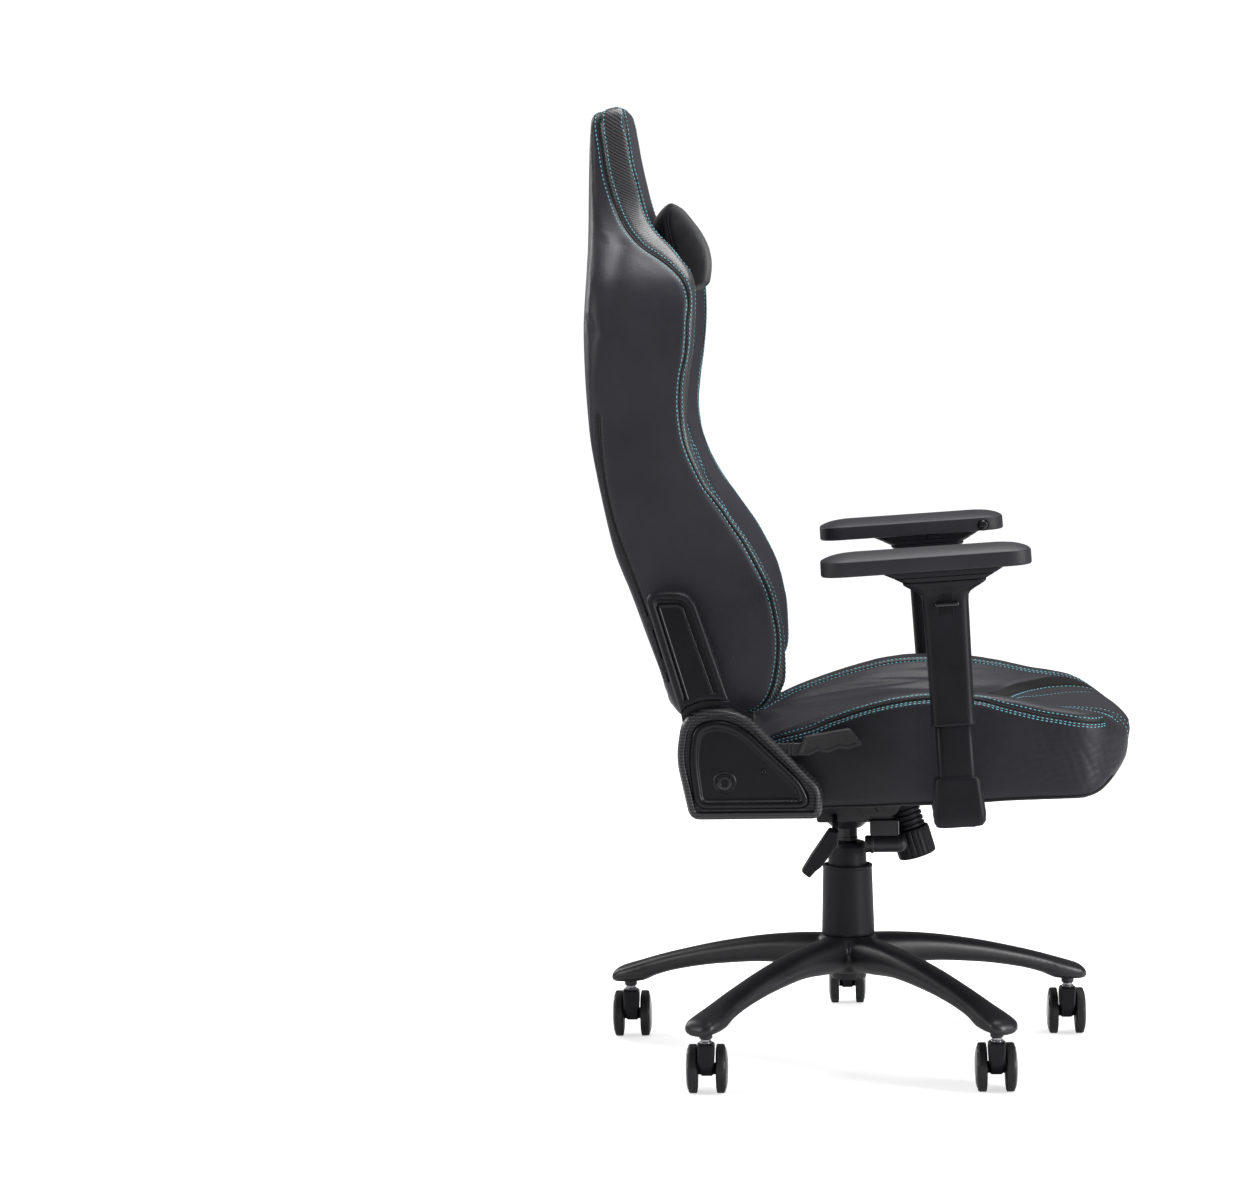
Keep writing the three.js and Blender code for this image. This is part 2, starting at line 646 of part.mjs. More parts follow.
function reclineLever() {
  const { x, z } = reclineAxis;
  const inside = -coverY - gap;
  const hub = rodAlongY(15, inside - 14, inside, x, z, 16);
  const arm = block([x, -62], [inside - 12, inside - 3], [457, 472]);
  const paddle = sidePrism(roundedOutline([[-66, 456, 3], [-56, 482, 3], [3, 492, 5], [20, 470, 4],
    [2, 464, 4], [-26, 459, 4], [-40, 462, 4]]), inside - 17, inside - 2);
  return join(hub, arm, paddle);
}

for (const [name, side] of [['left', 1], ['right', -1]]) {
  piece(`recliner_plate_${name}`, reclinerPlate(side), paintedMetal);
  piece(`hinge_cover_${name}`, hingeCover(side), plastic);
  piece(`back_arm_cover_${name}`, backArmCover(side), plastic);
}
piece('recline_shaft', reclineShaft(), bareSteel);
piece('recline_lever', reclineLever(), plastic);

// ---- Armrests -----------------------------------------------------------------------
// Each armrest is drawn about its own post: x forward, y outwards from the chair for the
// left one, and z up the post.
const postHalf = { x: 23.5, y: 13 };
const sleeveTop = 188;
const padButton = { x: 82, z: sleeveTop + 23, radius: 6.5 };

function roundedRectangle(halfX, halfY, radius, middleX = 0) {
  return roundedOutline([[middleX - halfX, -halfY, radius], [middleX + halfX, -halfY, radius],
    [middleX + halfX, halfY, radius], [middleX - halfX, halfY, radius]]);
}

// Rings of a rounded section whose size changes upwards.
function roundedLoft(stations) {
  const rings = stations.map(({ z, halfX, halfY, radius = 8, middleX = 0 }) =>
    roundedRectangle(halfX, halfY, radius, middleX).getPoints(3).slice(0, -1)
      .map(({ x, y }) => [x, y, z]));
  return loft(rings, XY);
}

// Steel bar under the seat pan that turns up inside the post.
function armBracket(side) {
  const [under, top, reach] = [369, 377.2, side * armY];
  const ends = [side * 130, reach + side * 4].sort((a, b) => a - b);
  const upturnEnds = [reach - 4, reach + 4];
  const bar = block([112, 162], ends, [under, top]);
  const spacerEnds = [side * 130, side * 190].sort((a, b) => a - b);
  const spacer = block([118, 156], spacerEnds, [under, seatFrameTop - panThickness - gap]);
  const upturn = block([122, 154], upturnEnds, [under, 460]);
  return join(bar, spacer, upturn);
}

// The fixed post with its wider foot, hollow for the bracket.
function armPost() {
  const outside = roundedLoft([
    { z: -120, halfX: 26, halfY: 15 },
    { z: -112, halfX: 32, halfY: 19 },
    { z: -68, halfX: 30, halfY: 18 },
    { z: -66, halfX: postHalf.x + 0.5, halfY: postHalf.y + 0.5 },
    { z: 95, halfX: postHalf.x, halfY: postHalf.y },
  ]);
  const pocket = block([-21, 21], [-6, 6], [-130, -30]);
  return cut(outside, pocket);
}

// The sleeve that slides on the post and flares into the head under the pad.
function armSleeve() {
  const outside = roundedLoft([
    { z: 2, halfX: 27.5, halfY: 18, radius: 12 },
    { z: 165, halfX: 29.5, halfY: 19, radius: 12 },
    { z: 172, halfX: 32, halfY: 20, radius: 12 },
    { z: sleeveTop - 4, halfX: 52, halfY: 30, radius: 12 },
    { z: sleeveTop, halfX: 53, halfY: 31, radius: 12 },
  ]);
  const [clearX, clearY] = [postHalf.x + 1, postHalf.y + 1];
  const pocket = block([-clearX, clearX], [-clearY, clearY], [0, 160]);
  const buttonWell = block([-7, 9], [14.5, 24], [142, 178]);
  return cut(outside, pocket, buttonWell);
}

function armHeightButton() {
  const body = block([-6.4, 8.4], [15, 20], [144, 170]);
  const ridge = rodAlongX(3, -14.5, 16.5, 22.6, 157, 10);
  return join(body, ridge);
}

function armTurntable() {
  return roundedLoft([
    { z: sleeveTop + gap, halfX: 54, halfY: 32, radius: 14 },
    { z: sleeveTop + 6.6, halfX: 64, halfY: 34, radius: 14 },
  ]);
}

function armCarriage() {
  return roundedLoft([
    { z: sleeveTop + 7, halfX: 65, halfY: 35, radius: 12, middleX: 0 },
    { z: sleeveTop + 14, halfX: 77, halfY: 37, radius: 12, middleX: -1 },
  ]);
}

function armPad() {
  const [half, middle, foot] = [padLength / 2, padBack + padLength / 2, sleeveTop + 14.4];
  const ring = (z, inset, radius) => (
    { z, halfX: half - inset, halfY: padWidth / 2 - inset, radius, middleX: middle });
  const pad = roundedLoft([ring(foot, 2, 24), ring(foot + 2, 0, 26), ring(foot + 19, 0.5, 26),
    ring(foot + 24, 5, 24), ring(foot + 28, 15, 18)]);
  const inner = -padWidth / 2;
  return cut(pad, rodAlongY(padButton.radius + gap, inner - 5, inner + 9, padButton.x, padButton.z, 14));
}

// The catch on the inner side of the pad that frees it to slide.
function armPadButton() {
  const inner = -padWidth / 2;
  return rodAlongY(padButton.radius, inner - 3.5, inner + 5, padButton.x, padButton.z, 14);
}

for (const [name, side] of [['left', 1], ['right', -1]]) {
  piece(`arm_bracket_${name}`, armBracket(side), paintedMetal);
  const armrest = new THREE.Group();
  armrest.position.set(armFoot.x, side * armY, armFoot.z);
  armrest.rotation.y = -radians(armLean);
  column.add(armrest);
  const parts = [['post', armPost, plastic], ['sleeve', armSleeve, plastic],
    ['height_button', armHeightButton, glossPlastic], ['turntable', armTurntable, plastic],
    ['carriage', armCarriage, plastic], ['pad', armPad, softPad],
    ['pad_button', armPadButton, glossPlastic]];
  for (const [part, make, look] of parts) {
    const geometry = make();
    // Each piece is drawn for the left armrest; the right one's is its mirror image.
    const mirrored = side > 0 ? geometry : mirrorAcross(geometry);
    piece(`arm_${part}_${name}`, mirrored, look, armrest);
  }
}

function mirrorAcross(geometry) {
  const mirrored = welded(geometry);
  const points = mirrored.attributes.position;
  for (let i = 0; i < points.count; i += 1) points.setY(i, -points.getY(i));
  const corners = mirrored.index.array;
  for (let i = 0; i < corners.length; i += 3) [corners[i], corners[i + 2]] = [corners[i + 2], corners[i]];
  return mirrored;
}

export default chair;
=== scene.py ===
"""Gaming chair: the looks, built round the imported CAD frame.

+X is forward, +Y the sitter's left and +Z up. Shapes are drawn in millimetres in a local
frame, mostly that of the lift column's foot, and placed in metres by a matrix.
"""
import math

import bmesh
import bpy
import numpy as np
from mathutils import Matrix, Vector
from mathutils.bvhtree import BVHTree
from mathutils.kdtree import KDTree
from mathutils.noise import noise


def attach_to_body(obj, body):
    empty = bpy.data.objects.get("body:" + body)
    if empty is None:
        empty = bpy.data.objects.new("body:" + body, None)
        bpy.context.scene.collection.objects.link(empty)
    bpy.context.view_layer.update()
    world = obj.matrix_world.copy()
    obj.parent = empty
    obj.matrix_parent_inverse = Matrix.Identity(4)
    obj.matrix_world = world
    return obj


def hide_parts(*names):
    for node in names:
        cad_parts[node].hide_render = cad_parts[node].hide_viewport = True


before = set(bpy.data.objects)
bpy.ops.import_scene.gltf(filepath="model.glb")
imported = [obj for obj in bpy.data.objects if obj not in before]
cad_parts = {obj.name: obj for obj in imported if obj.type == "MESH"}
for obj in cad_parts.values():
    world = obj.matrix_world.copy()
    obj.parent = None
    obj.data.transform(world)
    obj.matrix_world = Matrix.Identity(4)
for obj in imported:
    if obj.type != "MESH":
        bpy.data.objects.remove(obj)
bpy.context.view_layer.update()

MM = 0.001
COLUMN_X = -22.0                  # mm, the lift column from the middle of the chair
COLUMN = Matrix.Translation((COLUMN_X * MM, 0, 0))
SIDES = (("left", 1), ("right", -1))
ROOM_LIGHT = 0.20                 # light from all round
BACKDROP = 1.05                   # the same light where the camera sees it: just over white
FLOOR_GLOW = (0.66, 0.90)         # the floor's own light, near the chair and far from it
FLOOR_REACH = (1.0, 4.0)          # m, where the far light starts and is full
FLOOR_RADIUS = 40                 # m


# ---- Camera, light and floor --------------------------------------------------------
def add_camera():
    data = bpy.data.cameras.new("camera")
    data.sensor_width = 36
    data.lens = 99.3
    camera = bpy.data.objects.new("camera", data)
    yaw, pitch, roll = 0.0562, -0.0857, math.radians(-1.03)
    turn = (Matrix.Rotation(yaw, 4, "Z") @ Matrix.Rotation(math.pi / 2 + pitch, 4, "X")
            @ Matrix.Rotation(roll, 4, "Z"))
    camera.matrix_world = Matrix.Translation((-0.0548, -4.7484, 1.046)) @ turn
    bpy.context.scene.collection.objects.link(camera)
    bpy.context.scene.camera = camera


def add_area_light(name, place, target, size, power):
    data = bpy.data.lights.new(name, "AREA")
    data.shape = "RECTANGLE"
    data.size, data.size_y = size
    data.energy = power
    light = bpy.data.objects.new(name, data)
    light.location = place
    light.rotation_mode = "QUATERNION"
    light.rotation_quaternion = (Vector(target) - Vector(place)).to_track_quat("-Z", "Y")
    bpy.context.scene.collection.objects.link(light)


def seen_by_camera(tree):
    return tree.nodes.new("ShaderNodeLightPath").outputs["Is Camera Ray"]


def add_lights():
    middle = (0, 0, 0.7)
    add_area_light("overhead", (0.4, 0.2, 3.3), middle, (2.2, 1.8), 125)
    add_area_light("key", (3.7, -2.3, 1.6), middle, (1.0, 2.4), 175)
    add_area_light("fill", (-3.6, -1.9, 1.8), middle, (0.9, 2.2), 56)
    add_area_light("edge", (-2.8, 2.2, 2.2), middle, (1.0, 2.2), 55)
    world = bpy.data.worlds.new("studio")
    world.use_nodes = True
    tree = world.node_tree
    background = tree.nodes["Background"]
    background.inputs["Color"].default_value = (1, 1, 1, 1)
    strength = ranged(tree, seen_by_camera(tree), 0, 1, ROOM_LIGHT, BACKDROP)
    tree.links.new(strength, background.inputs["Strength"])
    bpy.context.scene.world = world
    bpy.context.scene.view_settings.view_transform = "Standard"


def add_floor():
    """A white sweep: a little light of its own carries it up to the white of the backdrop."""
    bpy.ops.mesh.primitive_circle_add(vertices=96, radius=FLOOR_RADIUS, fill_type="NGON")
    floor = bpy.context.object
    floor.name = "floor"
    material, tree, shader = new_material("floor", (0.8, 0.8, 0.8), 0.8, Specular_IOR_Level=0.1,
                                          Emission_Color=(1, 1, 1, 1))
    mottle = noise_texture(tree, object_space(tree), 3)
    tint(tree, shader, mottle, (0.78,) * 3, (0.82,) * 3)
    distance = tree.nodes.new("ShaderNodeVectorMath")
    distance.operation = "LENGTH"
    tree.links.new(object_space(tree), distance.inputs[0])
    spread = ranged(tree, distance.outputs["Value"], *FLOOR_REACH, *FLOOR_GLOW)
    glow = maths(tree, "MULTIPLY", spread, seen_by_camera(tree))
    shader_input(tree, shader, "Emission Strength", glow)
    floor.data.materials.append(material)


# ---- Node helpers -------------------------------------------------------------------
def new_material(name, colour, roughness, **constants):
    """A Principled material; constants are the sockets that are the same all over."""
    material = bpy.data.materials.new(name)
    material.use_nodes = True
    shader = material.node_tree.nodes["Principled BSDF"]
    shader.inputs["Base Color"].default_value = (*colour, 1)
    shader.inputs["Roughness"].default_value = roughness
    for socket, value in constants.items():
        shader.inputs[socket.replace("_", " ")].default_value = value
    return material, material.node_tree, shader


def shader_input(tree, shader, socket, output):
    tree.links.new(output, shader.inputs[socket])


def object_space(tree):
    return tree.nodes.new("ShaderNodeTexCoord").outputs["Object"]


def named_space(tree, name):
    node = tree.nodes.new("ShaderNodeAttribute")
    node.attribute_name = name
    return node.outputs["Vector"]


def noise_texture(tree, space, scale, detail=3.0, roughness=0.55, distortion=0.0):
    node = tree.nodes.new("ShaderNodeTexNoise")
    for socket, value in (("Scale", scale), ("Detail", detail), ("Roughness", roughness),
                          ("Distortion", distortion)):
        node.inputs[socket].default_value = value
    tree.links.new(space, node.inputs["Vector"])
    return node.outputs["Fac"]


def cell_texture(tree, space, scale):
    node = tree.nodes.new("ShaderNodeTexVoronoi")
    node.inputs["Scale"].default_value = scale
    tree.links.new(space, node.inputs["Vector"])
    return node.outputs["Distance"]


def maths(tree, operation, *values):
    node = tree.nodes.new("ShaderNodeMath")
    node.operation = operation
    for socket, value in zip(node.inputs, values):
        if isinstance(value, (int, float)):
            socket.default_value = value
        else:
            tree.links.new(value, socket)
    return node.outputs[0]


def ranged(tree, value, *limits):
    """Maps a value from low..high to new_low..new_high, the four limits in this order."""
    node = tree.nodes.new("ShaderNodeMapRange")
    for socket, limit in zip(("From Min", "From Max", "To Min", "To Max"), limits):
        node.inputs[socket].default_value = limit
    tree.links.new(value, node.inputs["Value"])
    return node.outputs["Result"]


def colour_between(tree, share, dark, light):
    node = tree.nodes.new("ShaderNodeMix")
    node.data_type = "RGBA"
    named = {socket.identifier: socket for socket in node.inputs}
    named["A_Color"].default_value = (*dark, 1)
    named["B_Color"].default_value = (*light, 1)
    tree.links.new(share, named["Factor_Float"])
    return next(o for o in node.outputs if o.identifier == "Result_Color")


def tint(tree, shader, share, dark, light):
    """Colours the surface between dark and light."""
    shader_input(tree, shader, "Base Color", colour_between(tree, share, dark, light))


def patchy(tree, shader, share, smooth, rough):
    """Lets the roughness of the surface follow the middle of a noise."""
    shader_input(tree, shader, "Roughness", ranged(tree, share, 0.3, 0.7, smooth, rough))


def add_bump(tree, shader, height, strength, depth, under=None):
    """Bump of this depth in metres; under is a broader bump that it lies on."""
    node = tree.nodes.new("ShaderNodeBump")
    node.inputs["Strength"].default_value = strength
    node.inputs["Distance"].default_value = depth
    tree.links.new(height, node.inputs["Height"])
    if under is not None:
        tree.links.new(under, node.inputs["Normal"])
    tree.links.new(node.outputs["Normal"], shader.inputs["Normal"])
    return node.outputs["Normal"]


def lighter_on_edges(tree, share, amount=0.35):
    """Makes a colour share lighter along sharp outer edges."""
    edges = tree.nodes.new("ShaderNodeNewGeometry").outputs["Pointiness"]
    edge_lightening = ranged(tree, edges, 0.52, 0.60, 0, amount)
    return maths(tree, "MINIMUM", maths(tree, "ADD", share, edge_lightening), 1)


# ---- Materials ----------------------------------------------------------------------
def leather(name, dark, light, roughness=0.46):
    """Coated leather: a fine pebble grain over a slow unevenness."""
    material, tree, shader = new_material(name, dark, roughness, Specular_IOR_Level=0.28)
    space = object_space(tree)
    patches = noise_texture(tree, space, 14, 4)
    tint(tree, shader, lighter_on_edges(tree, patches, 0.25), dark, light)
    patchy(tree, shader, patches, roughness - 0.05, roughness + 0.07)
    slow = add_bump(tree, shader, noise_texture(tree, space, 55, 2), 0.25, 0.0015)
    grain = maths(tree, "ADD", cell_texture(tree, space, 620), noise_texture(tree, space, 1500, 2))
    add_bump(tree, shader, grain, 0.32, 0.0002, slow)
    return material


def twill(tree, across, along, tow):
    """Share and height of a two-over-two twill weave, from two lengths along the cloth."""
    warp, weft = maths(tree, "DIVIDE", across, tow), maths(tree, "DIVIDE", along, tow)
    step = maths(tree, "SUBTRACT", maths(tree, "FLOOR", warp), maths(tree, "FLOOR", weft))
    fours = maths(tree, "FLOOR", maths(tree, "DIVIDE", step, 4))
    phase = maths(tree, "SUBTRACT", step, maths(tree, "MULTIPLY", fours, 4))
    warp_on_top = maths(tree, "LESS_THAN", phase, 1.5)
    crowns = [maths(tree, "ABSOLUTE", maths(tree, "SINE", maths(tree, "MULTIPLY", tows, math.pi)))
              for tows in (warp, weft)]
    chosen = maths(tree, "MULTIPLY", crowns[0], warp_on_top)
    other = maths(tree, "MULTIPLY", crowns[1], maths(tree, "SUBTRACT", 1, warp_on_top))
    return warp_on_top, maths(tree, "ADD", chosen, other)


def split(tree, vector):
    node = tree.nodes.new("ShaderNodeSeparateXYZ")
    tree.links.new(vector, node.inputs[0])
    return node.outputs


def carbon(name, dark, light, space_of, axes, tow, roughness=0.36):
    """Carbon-look twill in a clear coat, over two axes of a space."""
    material, tree, shader = new_material(name, dark, roughness, Coat_Weight=0.25, Coat_Roughness=0.24,
                                          Specular_IOR_Level=0.3)
    parts = split(tree, space_of(tree))
    across, along = parts[axes[0]], parts[axes[1]]
    if axes == (0, 2):
        total = [maths(tree, operation, across, along) for operation in ("ADD", "SUBTRACT")]
        across, along = (maths(tree, "MULTIPLY", one, math.sqrt(0.5)) for one in total)
    on_top, height = twill(tree, across, along, tow)
    tint(tree, shader, on_top, dark, light)
    gloss = ranged(tree, on_top, 0, 1, roughness + 0.1, roughness - 0.04)
    shader_input(tree, shader, "Roughness", gloss)
    add_bump(tree, shader, height, 0.5, 0.00025)
    return material


def suede(name, dark, light, sheen=0.12):
    """Short-napped suede, brushed in patches."""
    material, tree, shader = new_material(name, dark, 0.95, Sheen_Weight=sheen, Sheen_Roughness=0.5,
                                          Specular_IOR_Level=0.2)
    space = object_space(tree)
    brushed = noise_texture(tree, space, 24, 5, 0.65, 0.6)
    tint(tree, shader, ranged(tree, brushed, 0.35, 0.65, 0, 1), dark, light)
    slow = add_bump(tree, shader, noise_texture(tree, space, 60, 3), 0.3, 0.002)
    add_bump(tree, shader, noise_texture(tree, space, 1800, 4, 0.7), 0.5, 0.0004, slow)
    return material


def plastic(name, dark, light, roughness=0.48, grain=0.3, **constants):
    """Moulded plastic with a fine spark texture, lighter along its sharp edges."""
    constants.setdefault("Specular_IOR_Level", 0.3)
    material, tree, shader = new_material(name, dark, roughness, **constants)
    space = object_space(tree)
    patches = noise_texture(tree, space, 18, 4)
    tint(tree, shader, lighter_on_edges(tree, patches), dark, light)
    patchy(tree, shader, patches, roughness - 0.04, roughness + 0.06)
    add_bump(tree, shader, noise_texture(tree, space, 1300, 3, 0.6), grain, 0.0002)
    return material


def bare_steel(name):
    """Steel with fine streaks."""
    material, tree, shader = new_material(name, (0.6, 0.6, 0.62), 0.28, Metallic=1.0)
    space = object_space(tree)
    streaks = noise_texture(tree, space, 420, 5, 0.7)
    patchy(tree, shader, streaks, 0.2, 0.38)
    tint(tree, shader, streaks, (0.2, 0.2, 0.21), (0.42, 0.42, 0.44))
    add_bump(tree, shader, streaks, 0.15, 0.0001)
    return material


def thread(name, dark, light):
    """Twisted sewing thread."""
    material, tree, shader = new_material(name, dark, 0.55, Sheen_Weight=0.2)
    fibres = noise_texture(tree, object_space(tree), 2600, 2)
    tint(tree, shader, ranged(tree, fibres, 0.35, 0.65, 0, 1), dark, light)
    add_bump(tree, shader, fibres, 0.4, 0.0002)
    return material


add_camera()
add_lights()
add_floor()

LEATHER = leather("leather", (0.0165, 0.0159, 0.0215), (0.0265, 0.0256, 0.0335))
# The seat's leather is the back's leather made darker: painted shade, the shade that falls on the seat
# painted into its colour.
SHADED_SEAT_LEATHER = leather("seat_leather_painted_shade", (0.0095, 0.0091, 0.0128), (0.0175, 0.0168, 0.0222))
# Near-black copy of the leather for the seams' rolled edges and the zip: painted shade of the seam
# grooves, and the zip's own dark.
SEAM_SHADE_AND_ZIP = leather("seam_shade_and_zip", (0.003, 0.003, 0.0035), (0.006, 0.006, 0.0065), 0.6)
BAND = carbon("carbon_band", (0.006, 0.006, 0.007), (0.060, 0.060, 0.066),
              lambda tree: named_space(tree, "weave"), (0, 1), 0.0012)
RIM = carbon("carbon_rim", (0.004, 0.004, 0.005), (0.030, 0.030, 0.034), object_space, (0, 2), 0.0015)
DARK_SUEDE = suede("seat_suede", (0.0015, 0.0015, 0.002), (0.0035, 0.0034, 0.0042), 0.02)
SUEDE = suede("pillow_suede", (0.005, 0.005, 0.006), (0.011, 0.011, 0.013))
PLASTIC = plastic("moulded_plastic", (0.0042, 0.0040, 0.0056), (0.0098, 0.0094, 0.0128), 0.44,
                  Specular_IOR_Level=0.2)
SATIN = plastic("satin_plastic", (0.0026, 0.0025, 0.0036), (0.0060, 0.0058, 0.0080), 0.30, 0.12,
                Specular_IOR_Level=0.25)
GLOSS = plastic("gloss_plastic", (0.005, 0.005, 0.006), (0.010, 0.010, 0.011), 0.16, 0.05,
                Coat_Weight=0.5)
PAD = plastic("pad_foam", (0.012, 0.0117, 0.0148), (0.022, 0.0215, 0.0265), 0.5, 0.35)
TREAD = plastic("wheel_nylon", (0.010, 0.010, 0.011), (0.022, 0.022, 0.024), 0.55, 0.35)
PAINT = plastic("black_paint", (0.006, 0.0058, 0.0075), (0.013, 0.0126, 0.0155), 0.38, 0.12,
                Specular_IOR_Level=0.45)
STEEL = bare_steel("bare_steel")
TURQUOISE = thread("turquoise_thread", (0.06, 0.32, 0.41), (0.20, 0.60, 0.70))
BLACK_THREAD = thread("black_thread", (0.004, 0.004, 0.0045), (0.01, 0.01, 0.011))


# ---- Lines and tables ---------------------------------------------------------------
def smooth_rows(stations, positions):
    """Rows at new positions, on smooth curves through the stations that never overshoot."""
    table = np.array(stations, float)
    x, y = table[:, 0], table[:, 1:]
    gaps = np.diff(x)[:, None]
    slopes = np.diff(y, axis=0) / gaps
    tangents = np.zeros_like(y)
    tangents[0], tangents[-1] = slopes[0], slopes[-1]
    product = slopes[:-1] * slopes[1:]
    total = slopes[:-1] + slopes[1:]
    total[product <= 0] = 1
    tangents[1:-1] = np.where(product > 0, 2 * product / total, 0)
    positions = np.clip(np.array(positions, float), x[0], x[-1])
    i = np.clip(np.searchsorted(x, positions) - 1, 0, len(x) - 2)
    gap = gaps[i]
    t = ((positions - x[i]) / gap[:, 0])[:, None]
    return ((2 * t**3 - 3 * t**2 + 1) * y[i] + (t**3 - 2 * t**2 + t) * gap * tangents[i]
            + (3 * t**2 - 2 * t**3) * y[i + 1] + (t**3 - t**2) * gap * tangents[i + 1])


def through(points, per_gap=8, closed=False):
    """A smooth curve that passes through points."""
    p = np.array(points, float)
    count = len(p)
    gaps = count if closed else count - 1
    curve = []
    for i in range(gaps):
        near = np.arange(i - 1, i + 3)
        a, b, c, d = p[near % count if closed else np.clip(near, 0, count - 1)]
        for t in np.arange(per_gap) / per_gap:
            curve.append(0.5 * (2 * b + (c - a) * t + (2 * a - 5 * b + 4 * c - d) * t**2
                                + (3 * b - a - 3 * c + d) * t**3))
    if not closed:
        curve.append(p[-1])
    return np.array(curve)


def evenly(points, step):
    """Points every step along a line, with the distance of each from its start. Columns
    after the third are carried along and don't count as distance."""
    p = np.array(points, float)
    along = np.concatenate(([0], np.cumsum(np.linalg.norm(np.diff(p[:, :3], axis=0), axis=1))))
    count = max(2, int(round(along[-1] / step)) + 1)
    at = np.linspace(0, along[-1], count)
    return np.column_stack([np.interp(at, along, p[:, k]) for k in range(p.shape[1])]), at


def rounded(corners, reach=0.0, closed=True, steps=6):
    """A flat line through corners (a, b) or (a, b, reach), each eased by a curve."""
    line = []
    count = len(corners)
    for i, corner in enumerate(corners):
        p = np.array(corner[:2], float)
        if not closed and i in (0, count - 1):
            line.append(p)
            continue
        to_before = np.array(corners[i - 1][:2], float) - p
        to_after = np.array(corners[(i + 1) % count][:2], float) - p
        lengths = np.linalg.norm(to_before), np.linalg.norm(to_after)
        ease = min(corner[2] if len(corner) > 2 else reach, 0.49 * lengths[0], 0.49 * lengths[1])
        if ease <= 0:
            line.append(p)
            continue
        a, b = p + to_before / lengths[0] * ease, p + to_after / lengths[1] * ease
        for t in np.linspace(0, 1, steps + 1):
            line.append((1 - t) ** 2 * a + 2 * t * (1 - t) * p + t * t * b)
    return np.array(line)


def inset_corners(corners, inset, least=2.0):
    """Corners moved in by inset, square to their edges, with their easing shrunk to suit."""
    p = np.array([corner[:2] for corner in corners], float)
    after = np.roll(p, -1, axis=0) - p
    after /= np.linalg.norm(after, axis=1)[:, None]
    before = np.roll(after, 1, axis=0)
    area = np.sum(p[:, 0] * np.roll(p[:, 1], -1) - p[:, 1] * np.roll(p[:, 0], -1))
    turn = np.array([[0, 1], [-1, 0]]) * np.sign(area)
    cosine = np.sum(before * after, axis=1)
    inward = (before @ turn + after @ turn) / (1 + cosine)[:, None]
    tangent = np.sqrt(np.clip((1 - cosine) / (1 + cosine), 0, 4))
    easing = np.array([corner[2] for corner in corners]) - inset * tangent
    return np.column_stack((p + inset * inward, np.maximum(easing, least)))


def mirrored(points):
    """Points of the left side, then the same on the right, on the way back."""
    return points + [(x, -y, z) for x, y, z in reversed(points)]


# ---- Mesh helpers -------------------------------------------------------------------
def shifted(x, y, z):
    """A shift in millimetres."""
    return Matrix.Translation((x * MM, y * MM, z * MM))


def quarter_turn(axis):
    return Matrix.Rotation(math.pi / 2, 4, axis)


def mesh_object(name, points, faces, material, where=COLUMN):
    """A smooth-shaded mesh from millimetre points in a local frame."""
    mesh = bpy.data.meshes.new(name)
    mesh.from_pydata([tuple(p) for p in np.asarray(points, float) * MM], [], faces)
    mesh.transform(where)
    work = bmesh.new()
    work.from_mesh(mesh)
    bmesh.ops.recalc_face_normals(work, faces=work.faces)
    work.to_mesh(mesh)
    work.free()
    mesh.polygons.foreach_set("use_smooth", [True] * len(mesh.polygons))
    mesh.materials.append(material)
    obj = bpy.data.objects.new(name, mesh)
    bpy.context.scene.collection.objects.link(obj)
    return obj


def tube_faces(count, around, closed=False):
    """Faces of a tube of rings, filled at its ends or closed into a ring of its own."""
    faces = []
    for i in range(count if closed else count - 1):
        start, following = i * around, ((i + 1) % count) * around
        for j in range(around):
            k = (j + 1) % around
            faces.append((start + j, start + k, following + k, following + j))
    if not closed:
        faces += [tuple(range(around)), tuple(range((count - 1) * around, count * around))]
    return faces


def loft(name, rings, material, where=COLUMN, closed=False):
    rings = np.asarray(rings, float)
    return mesh_object(name, rings.reshape(-1, 3), tube_faces(*rings.shape[:2], closed), material, where)


def turned(name, profile, material, where=COLUMN, closed=False, sides=72, ease=0.0, wave=None):
    """A turned piece about Z from (radius, z) points; wave(angle) scales the radius."""
    line = rounded(profile, ease, closed, 4) if ease else np.array(profile, float)
    angles = 2 * np.pi * np.arange(sides) / sides
    rings = [[(wave(a, r, z) if wave else r, a, z) for a in angles] for r, z in line]
    reach, angle, height = np.moveaxis(np.array(rings), -1, 0)
    points = np.stack((reach * np.cos(angle), reach * np.sin(angle), height), -1)
    return loft(name, points, material, where, closed)


def soften(obj, width=0.8, segments=2):
    """Rounds the sharp edges of a piece, width in millimetres."""
    bevel = obj.modifiers.new("edges", "BEVEL")
    bevel.width = width * MM
    bevel.segments = segments
    bevel.limit_method = "ANGLE"
    bevel.angle_limit = math.radians(32)
    even_shading(obj)
    return obj


def even_shading(obj):
    weighted = obj.modifiers.new("shading", "WEIGHTED_NORMAL")
    weighted.keep_sharp = True
    return obj


def applied(obj):
    """Swaps a piece's mesh for what its modifiers make of it."""
    graph = bpy.context.evaluated_depsgraph_get()
    mesh = bpy.data.meshes.new_from_object(obj.evaluated_get(graph))
    obj.modifiers.clear()
    obj.data = mesh
    return obj


def merged(name, pieces):
    """Joins pieces that have no modifiers into one."""
    work = bmesh.new()
    materials = []
    for piece in pieces:
        done = len(work.faces)
        work.from_mesh(piece.data)
        work.faces.ensure_lookup_table()
        own = list(piece.data.materials)
        materials += [material for material in own if material not in materials]
        for face in work.faces[done:]:
            face.material_index = materials.index(own[face.material_index])
        bpy.data.objects.remove(piece)
    mesh = bpy.data.meshes.new(name)
    work.to_mesh(mesh)
    work.free()
    for material in materials:
        mesh.materials.append(material)
    obj = bpy.data.objects.new(name, mesh)
    bpy.context.scene.collection.objects.link(obj)
    return obj


